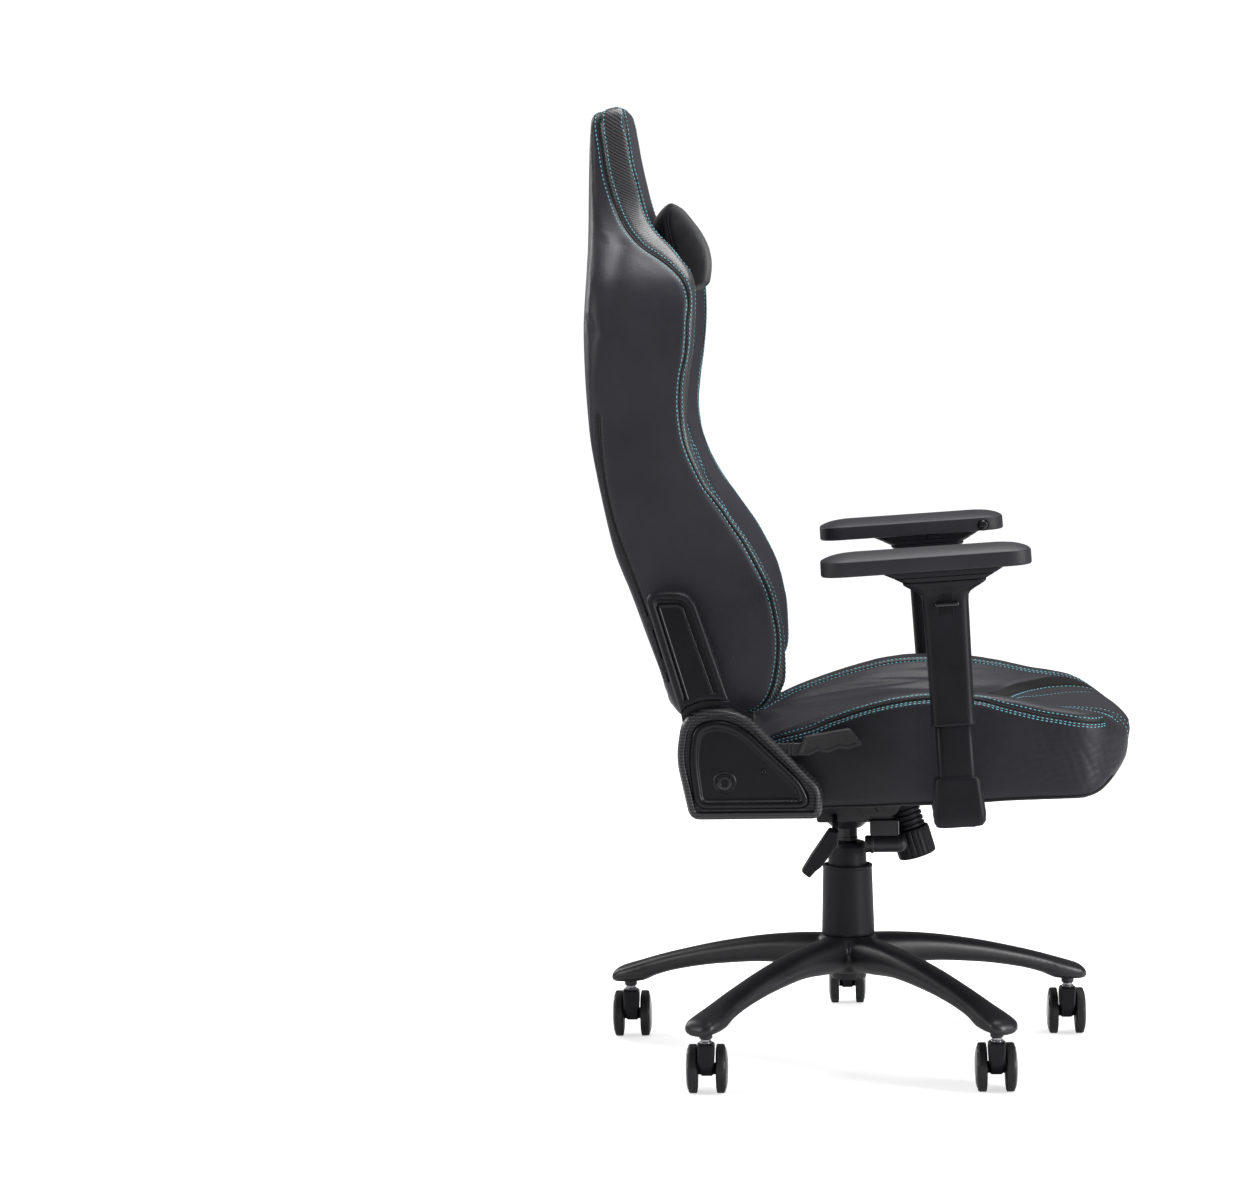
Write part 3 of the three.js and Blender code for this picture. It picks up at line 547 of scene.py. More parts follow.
def place(obj, body, slot, *nodes):
    """Says which body a piece rides on and the CAD nodes it stands for; its finish, slot, is not used."""
    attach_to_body(obj, body)
    if nodes:
        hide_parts(*nodes)
    return obj


def moulded(obj, body, *nodes):
    """Places a moulded piece of black plastic."""
    return place(even_shading(obj), body, "black_plastic", *nodes)


def dress(node, material, edge):
    """Gives a CAD node that stays its finish and softer edges."""
    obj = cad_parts[node]
    obj.data.materials.clear()
    obj.data.materials.append(material)
    obj.data.polygons.foreach_set("use_smooth", [True] * len(obj.data.polygons))
    weld = obj.modifiers.new("weld", "WELD")
    weld.merge_threshold = 1e-5
    soften(obj, edge)


def stepped(corners, steps, least=2.0):
    """Rings in the side plane: an outline drawn in by the inset of each (inset, y) step."""
    rings = []
    for inset, y in steps:
        line = rounded(inset_corners(corners, inset, least))
        rings.append(np.column_stack((line[:, 0], np.full(len(line), y), line[:, 1])))
    return rings


def side_prism(name, corners, y_from, y_to, material, ease=1.5, where=COLUMN):
    """A slab drawn in the side plane, with its edges eased."""
    steps = [(0.6 * ease, y_from), (0.0, y_from + ease), (0.0, y_to - ease), (0.6 * ease, y_to)]
    return loft(name, stepped(corners, rounded(steps, ease, False, 3), 0.4), material, where)


def positions(mesh):
    co = np.empty(len(mesh.vertices) * 3)
    mesh.vertices.foreach_get("co", co)
    return co.reshape(-1, 3)


def normals(mesh):
    directions = np.empty(len(mesh.vertices) * 3)
    mesh.vertex_normals.foreach_get("vector", directions)
    return directions.reshape(-1, 3)


def set_positions(mesh, points):
    mesh.vertices.foreach_set("co", np.asarray(points, float).ravel())
    mesh.update()


# ---- Soft goods ---------------------------------------------------------------------
def remesh(obj, voxel, smoothing):
    """One even skin over a shape, voxel in millimetres."""
    skin = obj.modifiers.new("skin", "REMESH")
    skin.mode = "VOXEL"
    skin.voxel_size = voxel * MM
    skin.use_smooth_shade = True
    smooth = obj.modifiers.new("smooth", "SMOOTH")
    smooth.factor = 0.5
    smooth.iterations = smoothing
    return applied(obj)


def distances(points, lines):
    """How far each point is from the nearest of some lines, in metres."""
    dots = np.concatenate(lines)
    tree = KDTree(len(dots))
    for i, dot in enumerate(dots):
        tree.insert(dot, i)
    tree.balance()
    return np.array([tree.find(p)[2] for p in points])


def puff(obj, seams, shrink, cap, pressure=4.0, frames=20):
    """Swells a cushion by cloth pressure between its seams, which stay where they are."""
    mesh = obj.data
    start = positions(mesh) - normals(mesh) * shrink * MM
    set_positions(mesh, start)
    hold = obj.vertex_groups.new(name="hold")
    reach = distances(start, seams)
    near, far = (shrink + 5) * MM, (shrink + 26) * MM
    for index, distance in enumerate(reach):
        weight = (far - distance) / (far - near)
        if weight > 0:
            hold.add([index], min(weight, 1.0), "REPLACE")
    cloth = obj.modifiers.new("cloth", "CLOTH")
    cloth.settings.use_pressure = True
    cloth.settings.uniform_pressure_force = pressure
    cloth.settings.vertex_group_mass = "hold"
    cloth.settings.quality = 4
    cloth.settings.mass = 0.3
    cloth.settings.tension_stiffness = cloth.settings.compression_stiffness = 15
    cloth.settings.bending_stiffness = 0.5
    cloth.settings.effector_weights.gravity = 0
    cloth.point_cache.frame_end = frames
    for step in range(1, frames + 1):
        bpy.context.scene.frame_set(step)
    applied(obj)
    bpy.context.scene.frame_set(1)
    moved = positions(obj.data) - start
    length = np.linalg.norm(moved, axis=1)[:, None] + 1e-9
    limit = cap * MM
    set_positions(obj.data, start + moved / length * limit * np.tanh(length / limit))
    obj.vertex_groups.clear()


def subdivided(obj):
    divide = obj.modifiers.new("divide", "SUBSURF")
    divide.levels = divide.render_levels = 1
    return applied(obj)


def press_grooves(obj, lines, depth, width):
    """Draws the cover in along its seams."""
    points = positions(obj.data)
    reach = distances(points, lines) / (width * MM)
    set_positions(obj.data, points - normals(obj.data) * (depth * MM * np.exp(-reach**2))[:, None])


def skin_of(*pieces):
    """The surface of some pieces, for laying lines on."""
    work = bmesh.new()
    for piece in pieces:
        work.from_mesh(piece.data)
    tree = BVHTree.FromBMesh(work)
    work.free()
    return tree


def hits(found):
    """The places and the normals of some finds on a skin."""
    return np.array([f[0] for f in found]), np.array([f[1] for f in found])


def laid(skin, guide, step=2.0):
    """A guide line laid on a skin: places, outward normals and sideways directions, metres."""
    line, _ = evenly(guide, step)
    found = hits([skin.find_nearest(COLUMN @ Vector(p * MM)) for p in line])
    places, outward, _ = with_sides(*found, rounds=60)
    places, _ = hits([skin.find_nearest(Vector(p)) for p in places])
    return with_sides(places, outward)


def with_sides(places, outward, rounds=3):
    """Evens out a laid line and finds its sideways directions."""
    for _ in range(rounds):
        places[1:-1] = (places[:-2] + 2 * places[1:-1] + places[2:]) / 4
        outward[1:-1] = (outward[:-2] + 2 * outward[1:-1] + outward[2:]) / 4
    outward /= np.linalg.norm(outward, axis=1)[:, None]
    ahead = np.gradient(places, axis=0)
    ahead /= np.linalg.norm(ahead, axis=1)[:, None] + 1e-12
    return places, outward, np.cross(ahead, outward)


def beside(skin, line, offset):
    """The line that runs offset millimetres to one side of another, on top of the same skin."""
    places, outward, sideways = line
    reach = 12 * MM
    found = []
    for place, out in zip(places + sideways * np.reshape(offset, (-1, 1)) * MM, outward):
        hit = skin.ray_cast(Vector(place + out * reach), Vector(-out), 2 * reach)
        found.append(hit if hit[0] is not None else skin.find_nearest(Vector(place)))
    return with_sides(*hits(found))


def cord_mesh(line, radius, lift, around=8):
    """Points and faces of a round cord along a laid line."""
    places, outward, sideways = line
    centre = places + outward * lift * MM
    angles = 2 * np.pi * np.arange(around) / around
    spokes = [outward * math.sin(a) + sideways * math.cos(a) for a in angles]
    rings = np.array([centre + spoke * radius * MM for spoke in spokes])
    return rings.transpose(1, 0, 2).reshape(-1, 3), tube_faces(len(places), around)


# Along one stitch: share of its length, thickness and height, both as shares of the radius.
STITCH = np.array([
    (0.0, 0.45, -0.35), (0.2, 1.0, 0.25), (0.5, 1.05, 0.45), (0.8, 1.0, 0.25), (1.0, 0.45, -0.35),
])


def stitch_mesh(line, pitch, length, radius, around=6):
    """Points and faces of a row of stitches, each dipping into the cover at its ends."""
    rows, along = evenly(np.column_stack(line[:2]), 0.0005)
    count = int(along[-1] / (pitch * MM))
    share, size, lift = STITCH.T
    at = ((np.arange(count)[:, None] + 0.5) * pitch + share * length) * MM

    def here(where, columns):
        return np.stack([np.interp(where, along, rows[:, k]) for k in columns], -1)

    centre, up = here(at, (0, 1, 2)), here(at, (3, 4, 5))
    up /= np.linalg.norm(up, axis=-1, keepdims=True)
    across = np.cross(here(at + MM / 2, (0, 1, 2)) - here(at - MM / 2, (0, 1, 2)), up)
    across /= np.linalg.norm(across, axis=-1, keepdims=True) + 1e-12
    turn = 2 * np.pi * np.arange(around)[:, None] / around
    ring = up[..., None, :] * np.sin(turn) + across[..., None, :] * np.cos(turn)
    centre += up * lift[:, None] * radius * MM
    points = (centre[..., None, :] + ring * (size * radius * MM)[:, None, None]).reshape(-1, 3)
    one = tube_faces(len(STITCH), around)
    step = around * len(STITCH)
    return points, [tuple(i * step + j for j in face) for i in range(count) for face in one]


def world_mesh(name, parts, material):
    """One object from several (points, faces) parts already in metres."""
    points, faces, offset = [], [], 0
    for part_points, part_faces in parts:
        points.append(part_points)
        faces += [tuple(offset + j for j in face) for face in part_faces]
        offset += len(part_points)
    return mesh_object(name, np.concatenate(points) / MM, faces, material, Matrix.Identity(4))


def sew(name, cushion, skin, rows, material=TURQUOISE, pitch=6.0, length=3.5, radius=0.52):
    """Rows of stitches on a cushion, as (laid line, sideways offset)."""
    parts = [stitch_mesh(beside(skin, line, offset), pitch, length, radius) for line, offset in rows]
    return attach(world_mesh(name, parts, material), cushion)


def fold(name, cushion, lines, radius=1.1, lift=0.2, material=SEAM_SHADE_AND_ZIP):
    """The rolled edge of a seam, as a thin cord along each line; by default near-black, painted shade in a
    seam's groove and the zip's own dark on the zip.
    """
    return attach(world_mesh(name, [cord_mesh(line, radius, lift) for line in lines], material), cushion)


def attach(obj, cushion):
    """Sewn to a cushion: it moves with it."""
    obj.parent = cushion
    return obj


def resampled(line, count):
    """A laid line's places and outward normals at a given number of even steps."""
    rows = np.column_stack(line[:2])
    along = np.concatenate(([0], np.cumsum(np.linalg.norm(np.diff(rows[:, :3], axis=0), axis=1))))
    at = np.linspace(0, along[-1], count)
    rows = np.column_stack([np.interp(at, along, rows[:, k]) for k in range(6)])
    return rows[:, :3], rows[:, 3:], at


def strip(name, cushion, skin, edge_a, edge_b, material, crown=1.3, across=10, tuck=-0.6):
    """A panel of other material between two laid lines, crowned between its tucked edges."""
    count = len(edge_a[0])
    a, outward_a, along = resampled(edge_a, count)
    b, outward_b, _ = resampled(edge_b, count)
    reach = 30 * MM
    points, weave = [], []
    for i in range(count):
        width = np.linalg.norm(b[i] - a[i])
        for t in np.linspace(0, 1, across + 1):
            inside = Vector(a[i] * (1 - t) + b[i] * t)
            up = Vector(outward_a[i] * (1 - t) + outward_b[i] * t).normalized()
            hit = skin.ray_cast(inside + up * reach, -up, 2 * reach)[0] or skin.find_nearest(inside)[0]
            lift = tuck + (crown - tuck) * (1 - (2 * t - 1) ** 4)
            points.append(hit + up * lift * MM)
            weave.append((t * width, along[i], 0))
    row = across + 1
    faces = [(i * row + j, i * row + j + 1, (i + 1) * row + j + 1, (i + 1) * row + j)
             for i in range(count - 1) for j in range(across)]
    obj = mesh_object(name, np.array(points) / MM, faces, material, Matrix.Identity(4))
    attribute = obj.data.attributes.new("weave", "FLOAT_VECTOR", "POINT")
    attribute.data.foreach_set("vector", np.array(weave).ravel())
    return attach(obj, cushion)


RECLINER_TOP = 0.70               # m, above the recliners
RECLINER_INSIDE = 0.2655          # m, from the middle of the chair to the recliners
# Backrest: rear surface, wing front, middle front and half width at each height.
BACK_STATIONS = [
    (497, -222, -138, -162, 236), (520, -234, -92, -152, 250), (557, -246, -76, -150, 257),
    (600, -261, -77, -152, 260), (658, -281, -87, -160, 262), (718, -304, -113, -172, 262),
    (766, -315, -145, -186, 261), (801, -322, -169, -197, 260), (836, -329, -187, -210, 258),
    (870, -334, -198, -219, 257), (905, -336, -201, -229, 256), (940, -337, -198, -236, 258),
    (974, -337, -193, -241, 260), (1030, -336, -188, -247, 258), (1072, -334, -188, -251, 245),
    (1112, -333, -212, -253, 210), (1152, -333, -247, -256, 168), (1190, -334, -259, -260, 147),
    (1240, -334, -271, -271, 139), (1280, -333, -276, -276, 137), (1297, -332, -279, -279, 133),
    (1307, -328, -281, -281, 126), (1311, -324, -284, -284, 116),
]
# The seam behind the wing's carbon band, as (x, z) seen from the side, from the head down.
OUTER_SEAM = [
    (-318, 1290), (-314, 1255), (-308, 1215), (-300, 1187), (-291, 1163), (-279, 1142), (-259, 1121),
    (-231, 1102), (-207, 1079), (-196, 1054), (-195, 1030), (-198, 995), (-204, 955), (-208, 915),
    (-205, 888), (-194, 856), (-173, 814), (-147, 772), (-120, 722), (-98, 671), (-88, 629), (-87, 595),
    (-96, 545), (-109, 514), (-122, 500),
]
# The seam in front of the band on the head, where it still shows from the side.
INNER_SEAM = [
    (-280, 1300), (-274, 1275), (-268, 1240), (-262, 1206), (-256, 1172), (-249, 1155), (-236, 1141),
    (-217, 1125), (-198, 1104),
]
JOIN_HEIGHT = 1152                # where the head's carbon band meets the wing's


ZIP_SEAM = [(-318, 902), (-316, 841), (-307, 774), (-284, 707), (-261, 640), (-246, 590), (-236, 548)]


def back_ring(z, rear, wing, middle, half):
    """One level of the back; near the top the rear falls away from the front."""
    depth = wing - rear
    side = [(rear, 0.3), (rear, 0.87), (rear + 0.06 * depth, 0.97), (rear + 0.3 * depth, 1),
            (wing - 0.12 * depth, 1), (wing - 0.02 * depth, 0.965), (wing, 0.9),
            (wing - 0.03 * depth, 0.83), (middle + 0.4 * (wing - middle), 0.66),
            (middle, 0.5), (middle, 0.2)]
    fall = 8 * np.clip((z - 1265) / 46, 0, 1) / depth
    left = [(x, share * half, z - fall * (wing - x)) for x, share in side]
    return through(mirrored(left), 6, closed=True)


def back_rows(heights):
    return smooth_rows(BACK_STATIONS, heights)


def outer_guide(side):
    points = np.array(OUTER_SEAM, float)
    half = back_rows(points[:, 1])[:, 3]
    path = np.column_stack((points[:, 0], side * half, points[:, 1]))
    over_the_top = [(-312, side * 60, 1314), (-313, side * 92, 1310), (-315, side * 116, 1303)]
    return through(np.vstack((over_the_top, path)), 6)


def inner_guide(side):
    """The seam in front of the band: down the head's side, then along the wing's rim."""
    over_the_top = [(-292, side * 60, 1316), (-291, side * 92, 1313), (-289, side * 114, 1307)]
    head = np.array(INNER_SEAM, float)
    half = back_rows(head[:, 1])[:, 3]
    path = np.column_stack((head[:, 0], side * 0.95 * half, head[:, 1]))
    heights = np.array([1080, 1050, 1015, *range(980, 579, -40), 545, 520, 505])
    _, wing, _, half = back_rows(heights).T
    out = np.interp(heights, (860, 960), (0.91, 0.885))
    rim = np.column_stack((wing + 2, side * out * half, heights))
    return through(np.vstack((over_the_top, path, rim)), 6)


def bolster_guide(side):
    """The seam between the wing's pad and the middle of the back."""
    heights = np.array([1100, 1040, 980, 900, 820, 740, 660, 600, 560])
    _, wing, middle, half = back_rows(heights).T
    return through(np.column_stack((middle + 0.35 * (wing - middle) + 4, side * 0.63 * half, heights)), 8)


def zip_guide(side):
    points = np.array(ZIP_SEAM, float)
    half = back_rows(points[:, 1])[:, 3]
    return through(np.column_stack((points[:, 0], side * 0.97 * half, points[:, 1])), 8)


def crease_guide(side):
    """The soft fold that runs up the side from the zip to the neck."""
    points = np.array([(-312, 930), (-303, 986), (-298, 1050), (-293, 1089), (-289, 1125)], float)
    half = back_rows(points[:, 1])[:, 3]
    return through(np.column_stack((points[:, 0], side * half, points[:, 1])), 8)


def wrinkle(obj, masks):
    """Pushes soft creases into a cover: each mask is a centre, its reach, the direction
    across the creases, their pitch and their depth, in millimetres."""
    points, outward = positions(obj.data), normals(obj.data)
    shift = np.zeros(len(points))
    for centre, reach, across, pitch, depth in masks:
        local = (points - np.array(COLUMN @ (Vector(centre) * MM))) / (np.array(reach) * MM)
        share = np.exp(-np.sum(local**2, axis=1))
        direction = np.array(across) / np.linalg.norm(across)
        for i in np.nonzero(share > 0.03)[0]:
            bend = noise(Vector(points[i] * 22)) * 4.8
            phase = points[i] @ direction / (pitch * MM) * 2 * math.pi
            shift[i] -= share[i] * depth * MM * (0.5 + 0.5 * math.sin(phase + bend)) ** 3
    set_positions(obj.data, points + outward * shift[:, None])


BACK_SEAMS = ("outer", "inner", "bolster", "zip")


def make_back():
    heights = np.concatenate((np.arange(497, 1296, 8), [1297, 1301, 1306, 1309, 1311]))
    rings = [back_ring(z, *row) for z, row in zip(heights, back_rows(heights))]
    back = remesh(loft("back_cushion_cover", rings, LEATHER), 6, 5)
    guides = both_sides(outer=outer_guide, inner=inner_guide, bolster=bolster_guide, zip=zip_guide,
                        crease=crease_guide)
    puff(back, seam_lines(back, guides, BACK_SEAMS), shrink=3, cap=9)
    clear_recliners(back)
    subdivided(back)
    press_grooves(back, seam_lines(back, guides, ("crease",)), 2.2, 13)
    press_grooves(back, seam_lines(back, guides, ("outer", "inner", "bolster")), 2.2, 4.0)
    press_grooves(back, seam_lines(back, guides, ("zip",)), 1.4, 4.0)
    place(back, "back", "leather", "back_cushion")
    trim_back(back, guides)
    return back


def both_sides(**makers):
    """The guide lines of each maker, left and right, under the maker's name."""
    return {name: [make(side) for _, side in SIDES] for name, make in makers.items()}


def seam_lines(obj, guides, names):
    """Where the named guides lie on a cushion as it is now."""
    skin = skin_of(obj)
    return [laid(skin, guide)[0] for name in names for guide in guides[name]]


def clear_recliners(back):
    """Keeps the sides of the back flat where the recliners pass them."""
    points = positions(back.data)
    low = points[:, 2] < RECLINER_TOP
    points[low, 1] = np.clip(points[low, 1], -RECLINER_INSIDE, RECLINER_INSIDE)
    set_positions(back.data, points)


def seam_gap(line, share=1.0):
    """How far from a seam its stitches run: wider on the head than down the wings."""
    return share * np.interp(line[0][:, 2], (1.04, 1.16), (3.6, 5.8))


def trim_back(back, guides):
    bare = skin_of(back)
    for i, (name, _) in enumerate(SIDES):
        outer, inner, bolster, zipper = (laid(bare, guides[key][i]) for key in BACK_SEAMS)
        band = strip(f"back_band_{name}", back, bare, outer, inner, BAND)
        skin = skin_of(back, band)
        fold(f"back_seams_{name}", back, [outer, inner, bolster])
        rows = [(line, seam_gap(line, share)) for line in (outer, inner) for share in (-1, 1)]
        rows += [(bolster, offset) for offset in (-4, 4)]
        sew(f"back_stitching_{name}", back, skin, rows)
        fold(f"back_band_join_{name}", back, [band_join(skin, outer, inner)], 0.7, 0.1, BLACK_THREAD)
        fold(f"back_zip_{name}", back, [zipper], 1.8, 0.3)
        sew(f"back_zip_stitching_{name}", back, skin, [(zipper, -6), (zipper, 6)], BLACK_THREAD)


def band_join(skin, outer, inner):
    """The short seam across the band at the neck."""
    start, end = (line[0][np.argmin(np.abs(line[0][:, 2] - height * MM))]
                  for line, height in ((outer, JOIN_HEIGHT - 4), (inner, JOIN_HEIGHT + 4)))
    return with_sides(*hits([skin.find_nearest(Vector(p)) for p in np.linspace(start, end, 12)]))


# Seat: bolster top, underside, half width, depth of the middle and of the pocket beneath.
SEAT_STATIONS = [
    (-134, 458, 382, 216, 14, 8), (-114, 470, 379, 240, 20, 15), (-90, 483, 377.5, 258, 27, 18),
    (-50, 499, 378, 266, 34, 22), (16, 520, 379, 269, 42, 22), (68, 532, 381, 270, 46, 20),
    (105, 535, 382, 270, 46, 18), (165, 533, 384, 270, 40, 16), (215, 526, 387, 270, 32, 13),
    (274, 513, 388.5, 269, 20, 9), (314, 508, 389, 266, 13, 5), (342, 503, 394, 258, 9, 1),
    (366, 493, 409, 240, 5, 0), (382, 479, 426, 218, 2, 0), (391, 465, 439, 200, 0, 0),
]
# The seam along the outer edge of a bolster, as (x, z) seen from the side.
RIM_SEAM = [
    (-110, 475), (-61, 492), (-22, 503), (17, 515), (56, 524), (103, 530), (165, 529), (196, 522),
    (227, 514), (258, 507), (289, 502), (320, 498), (347, 496), (362, 494),
]


def seat_rows(lengths):
    return smooth_rows(SEAT_STATIONS, lengths)


def bowed(x, share):
    """The front of the seat curves back towards its corners."""
    ahead = np.clip((x - 250) / 140, 0, 1)
    return x - 24 * ahead * ahead * (3 - 2 * ahead) * np.square(share)


def seat_ring(x, top, under, half, dip, recess):
    tall = top - under
    side = [(0.95, under), (0.99, under + 0.06 * tall), (1, under + 0.3 * tall), (1, top - 0.2 * tall),
            (0.985, top - 0.07 * tall), (0.94, top), (0.86, top - 0.03 * dip), (0.8, top - 0.1 * dip),
            (0.62, top - 0.7 * dip), (0.5, top - dip), (0.2, top - dip)]
    left = [(share * half, z) for share, z in side]
    right = [(-share * half, z) for share, z in reversed(side)]
    upper = through(left + right, 6)
    pocket = [(-0.84 * half, under), (-0.83 * half, under + recess),
              (0.83 * half, under + recess), (0.84 * half, under)]
    return np.array([(bowed(x, y / half), y, z) for y, z in [*upper, *pocket]])


def rim_guide(side):
    """The seam along the outer edge of a bolster, round to the front."""
    lengths, heights = np.array(RIM_SEAM, float).T
    half = seat_rows(lengths)[:, 2]
    return through(np.column_stack((bowed(lengths, 1), side * half, heights)), 8)


def crest_guide(side):
    """The seam along the inner edge of a bolster."""
    lengths = np.array([-120, -80, -40, 0, 40, 80, 120, 165, 210, 250, 290, 325, 355, 372])
    top, _, half, dip, _ = seat_rows(lengths).T
    return through(np.column_stack((bowed(lengths, 0.8), side * 0.80 * half, top - 0.1 * dip)), 8)


def hem_guide(side):
    lengths = np.array([-100, -20, 60, 140, 220, 290, 330, 355, 372])
    _, under, half, _, _ = seat_rows(lengths).T
    return through(np.column_stack((bowed(lengths, 0.985), side * 0.985 * half, under + 2)), 8)


# Lines on the middle of the seat, from its centre outwards, as (x, y).
STRIP_EDGE = [(172, 0), (178, 45), (190, 85), (204, 115), (235, 156), (259, 174), (287, 194), (318, 208)]
UPPER_LINE = [(222, 0), (228, 38), (240, 82), (255, 122), (277, 145), (308, 151), (338, 151), (366, 150)]
LOWER_LINE = [(229, 0), (238, 38), (252, 57), (301, 84), (337, 99), (366, 104)]


def across_seat(half_line, nose=()):
    """A line over the seat, the same on both sides; nose is its end, over the front."""
    lengths, across = np.array(half_line, float).T
    top, _, half, dip, _ = seat_rows(lengths).T
    share = across / half
    sunk = np.interp(share, (0.5, 0.62, 0.8), (1, 0.7, 0.1))
    one_side = np.vstack((np.column_stack((bowed(lengths, share), across, top - sunk * dip + 1)), *nose))
    return through(np.vstack((one_side[:0:-1] * (1, -1, 1), one_side)), 6)


def nose_end(across):
    return [[(388, across, 455)], [(387, across - 2, 440)]]


SEAT_WRINKLES = [
    ((315, sign * 262, 440), (75, 40, 42), across, pitch, 0.55)
    for sign in (-1, 1) for across, pitch in (((1, 0, 0.35), 13), ((-0.3, 0, 1), 10))
]


def make_seat():
    lengths = np.concatenate((np.arange(-134, 366, 8), [366, 372, 378, 383, 387, 391]))
    rings = [seat_ring(x, *row) for x, row in zip(lengths, seat_rows(lengths))]
    # The seat's cover takes the darker copy of the leather, with its shade painted into the colour.
    seat = remesh(loft("seat_cushion_cover", rings, SHADED_SEAT_LEATHER), 6, 5)
    guides = both_sides(rim=rim_guide, crest=crest_guide, hem=hem_guide)
    guides["strip"] = [across_seat(STRIP_EDGE), across_seat(UPPER_LINE)]
    guides["lines"] = [across_seat(UPPER_LINE, nose_end(148)), across_seat(LOWER_LINE, nose_end(104))]
    puff(seat, seam_lines(seat, guides, guides) + [underside_of(seat)], shrink=2, cap=9)
    subdivided(seat)
    press_grooves(seat, seam_lines(seat, guides, ("rim", "crest")), 2.4, 4.5)
    press_grooves(seat, seam_lines(seat, guides, ("strip", "lines", "hem")), 1.2, 3.5)
    wrinkle(seat, SEAT_WRINKLES)
    place(seat, "seat", "leather", "seat_cushion")
    trim_seat(seat, guides)
    return seat


def underside_of(seat):
    """The points of the seat's underside, which lies on its frame."""
    points = positions(seat.data)
    return points[normals(seat.data)[:, 2] < -0.7]


def trim_seat(seat, guides):
    skin = skin_of(seat)
    for i, (name, side) in enumerate(SIDES):
        rim, crest, hem = (laid(skin, guides[key][i]) for key in ("rim", "crest", "hem"))
        fold(f"seat_seams_{name}", seat, [rim, crest])
        fold(f"seat_hem_{name}", seat, [hem], 1.6, 0.4)
        rows = [(rim, offset * side) for offset in (5, -4, -7)] + [(crest, -5), (crest, 5)]
        sew(f"seat_stitching_{name}", seat, skin, rows)
    back_edge, front_edge = (laid(skin, guide) for guide in guides["strip"])
    strip("seat_front_band", seat, skin, back_edge, front_edge, DARK_SUEDE, crown=0.9)
    sew("seat_front_stitching", seat, skin, [(laid(skin, guide), 1) for guide in guides["lines"]])


# Head pillow: rear, front and share of the half width at each height.
PILLOW_HALF = 132
PILLOW_STATIONS = [
    (1060, -212, -192, 0.86), (1070, -232, -181, 0.97), (1098, -244, -178, 1.0), (1118, -250, -181, 1.0),
    (1140, -252, -190, 0.99), (1156, -250, -200, 0.97), (1168, -243, -209, 0.95), (1176, -236, -216, 0.92),
    (1181, -229, -221, 0.89),
]


def pillow_ring(z, rear, front, share):
    middle = 0.6 * rear + 0.4 * front
    side = [(rear, 0.3), (rear, 0.8), (middle, 1), (front, 0.88), (front + 2, 0.5), (front + 2.5, 0.2)]
    left = [(x, part * share * PILLOW_HALF, z) for x, part in side]
    return through(mirrored(left), 6, closed=True)


def gusset_guide(side):
    """A seam down one end of the pillow, nearer its rear."""
    heights = np.array([1066, 1080, 1104, 1130, 1155, 1174])
    rear, front, share = smooth_rows(PILLOW_STATIONS, heights).T
    depth = rear + 0.4 * (front - rear)
    return through(np.column_stack((depth, side * share * PILLOW_HALF * 0.98, heights)), 6)


def make_pillow():
    heights = np.concatenate((np.arange(1060, 1176, 4), [1176, 1179, 1181]))
    rings = [pillow_ring(z, *row) for z, row in zip(heights, smooth_rows(PILLOW_STATIONS, heights))]
    pillow = remesh(loft("head_pillow_cover", rings, SUEDE), 4, 2)
    guides = both_sides(gusset=gusset_guide)
    puff(pillow, seam_lines(pillow, guides, guides), shrink=3, cap=9)
    subdivided(pillow)
    press_grooves(pillow, seam_lines(pillow, guides, guides), 1.6, 3.0)
    place(pillow, "pillow", "pillow_suede", "head_pillow")
    skin = skin_of(pillow)
    lines = [laid(skin, guide) for guide in guides["gusset"]]
    fold("pillow_piping", pillow, lines, 0.9, 0.1, SUEDE)
    return pillow


make_back()
make_seat()
make_pillow()


# ---- Recliner covers and levers -----------------------------------------------------
COVER_Y = 279.4                   # inner edge of the covers, from the middle of the chair
COVER_DEPTH = 23.6
HINGE_CORNERS = [(-206, 374, 14), (-34, 374, 14), (-32, 414, 14), (-128, 512, 20), (-168, 523, 20),
                 (-214, 512, 26), (-223, 455, 20)]
# The raised lip inside the hinge cover's groove.
LIP_CORNERS = [(-199, 388, 18), (-46, 388, 19), (-58, 422, 26), (-134, 496, 26), (-166, 508, 24),
               (-200, 499, 28), (-207, 455, 24)]
ARM_COVER_CORNERS = [(-216, 512, 3), (-208, 520.2, 7), (-192, 526.8, 7), (-175, 529, 7), (-150, 527, 3),
                     (-198, 673, 25), (-263, 673, 23)]
ARM_PANEL_CORNERS = [(-244, 656, 7), (-212, 656, 7), (-172, 537, 5), (-206, 527, 5)]


def relief(name, corners, profile, side, material, ease=1.2, hollow=False):
    """A moulded cover: its outline stepped in and out along (inset, depth) points."""
    steps = rounded(profile, ease, hollow, 3) * (1, side)
    return loft(name, stepped(corners, steps), material, closed=hollow)


def carve(obj, low, high):
    """Cuts a box, in column millimetres, out of a piece."""
    corners = [(x, y, z) for x in (low[0], high[0]) for y in (low[1], high[1]) for z in (low[2], high[2])]
    faces = [(0, 1, 3, 2), (4, 6, 7, 5), (0, 4, 5, 1), (2, 3, 7, 6), (0, 2, 6, 4), (1, 5, 7, 3)]
    cutter = mesh_object("cutter", corners, faces, PLASTIC)
    boolean = obj.modifiers.new("carve", "BOOLEAN")
    boolean.operation = "DIFFERENCE"
    boolean.object = cutter
    applied(obj)
    bpy.data.objects.remove(cutter)


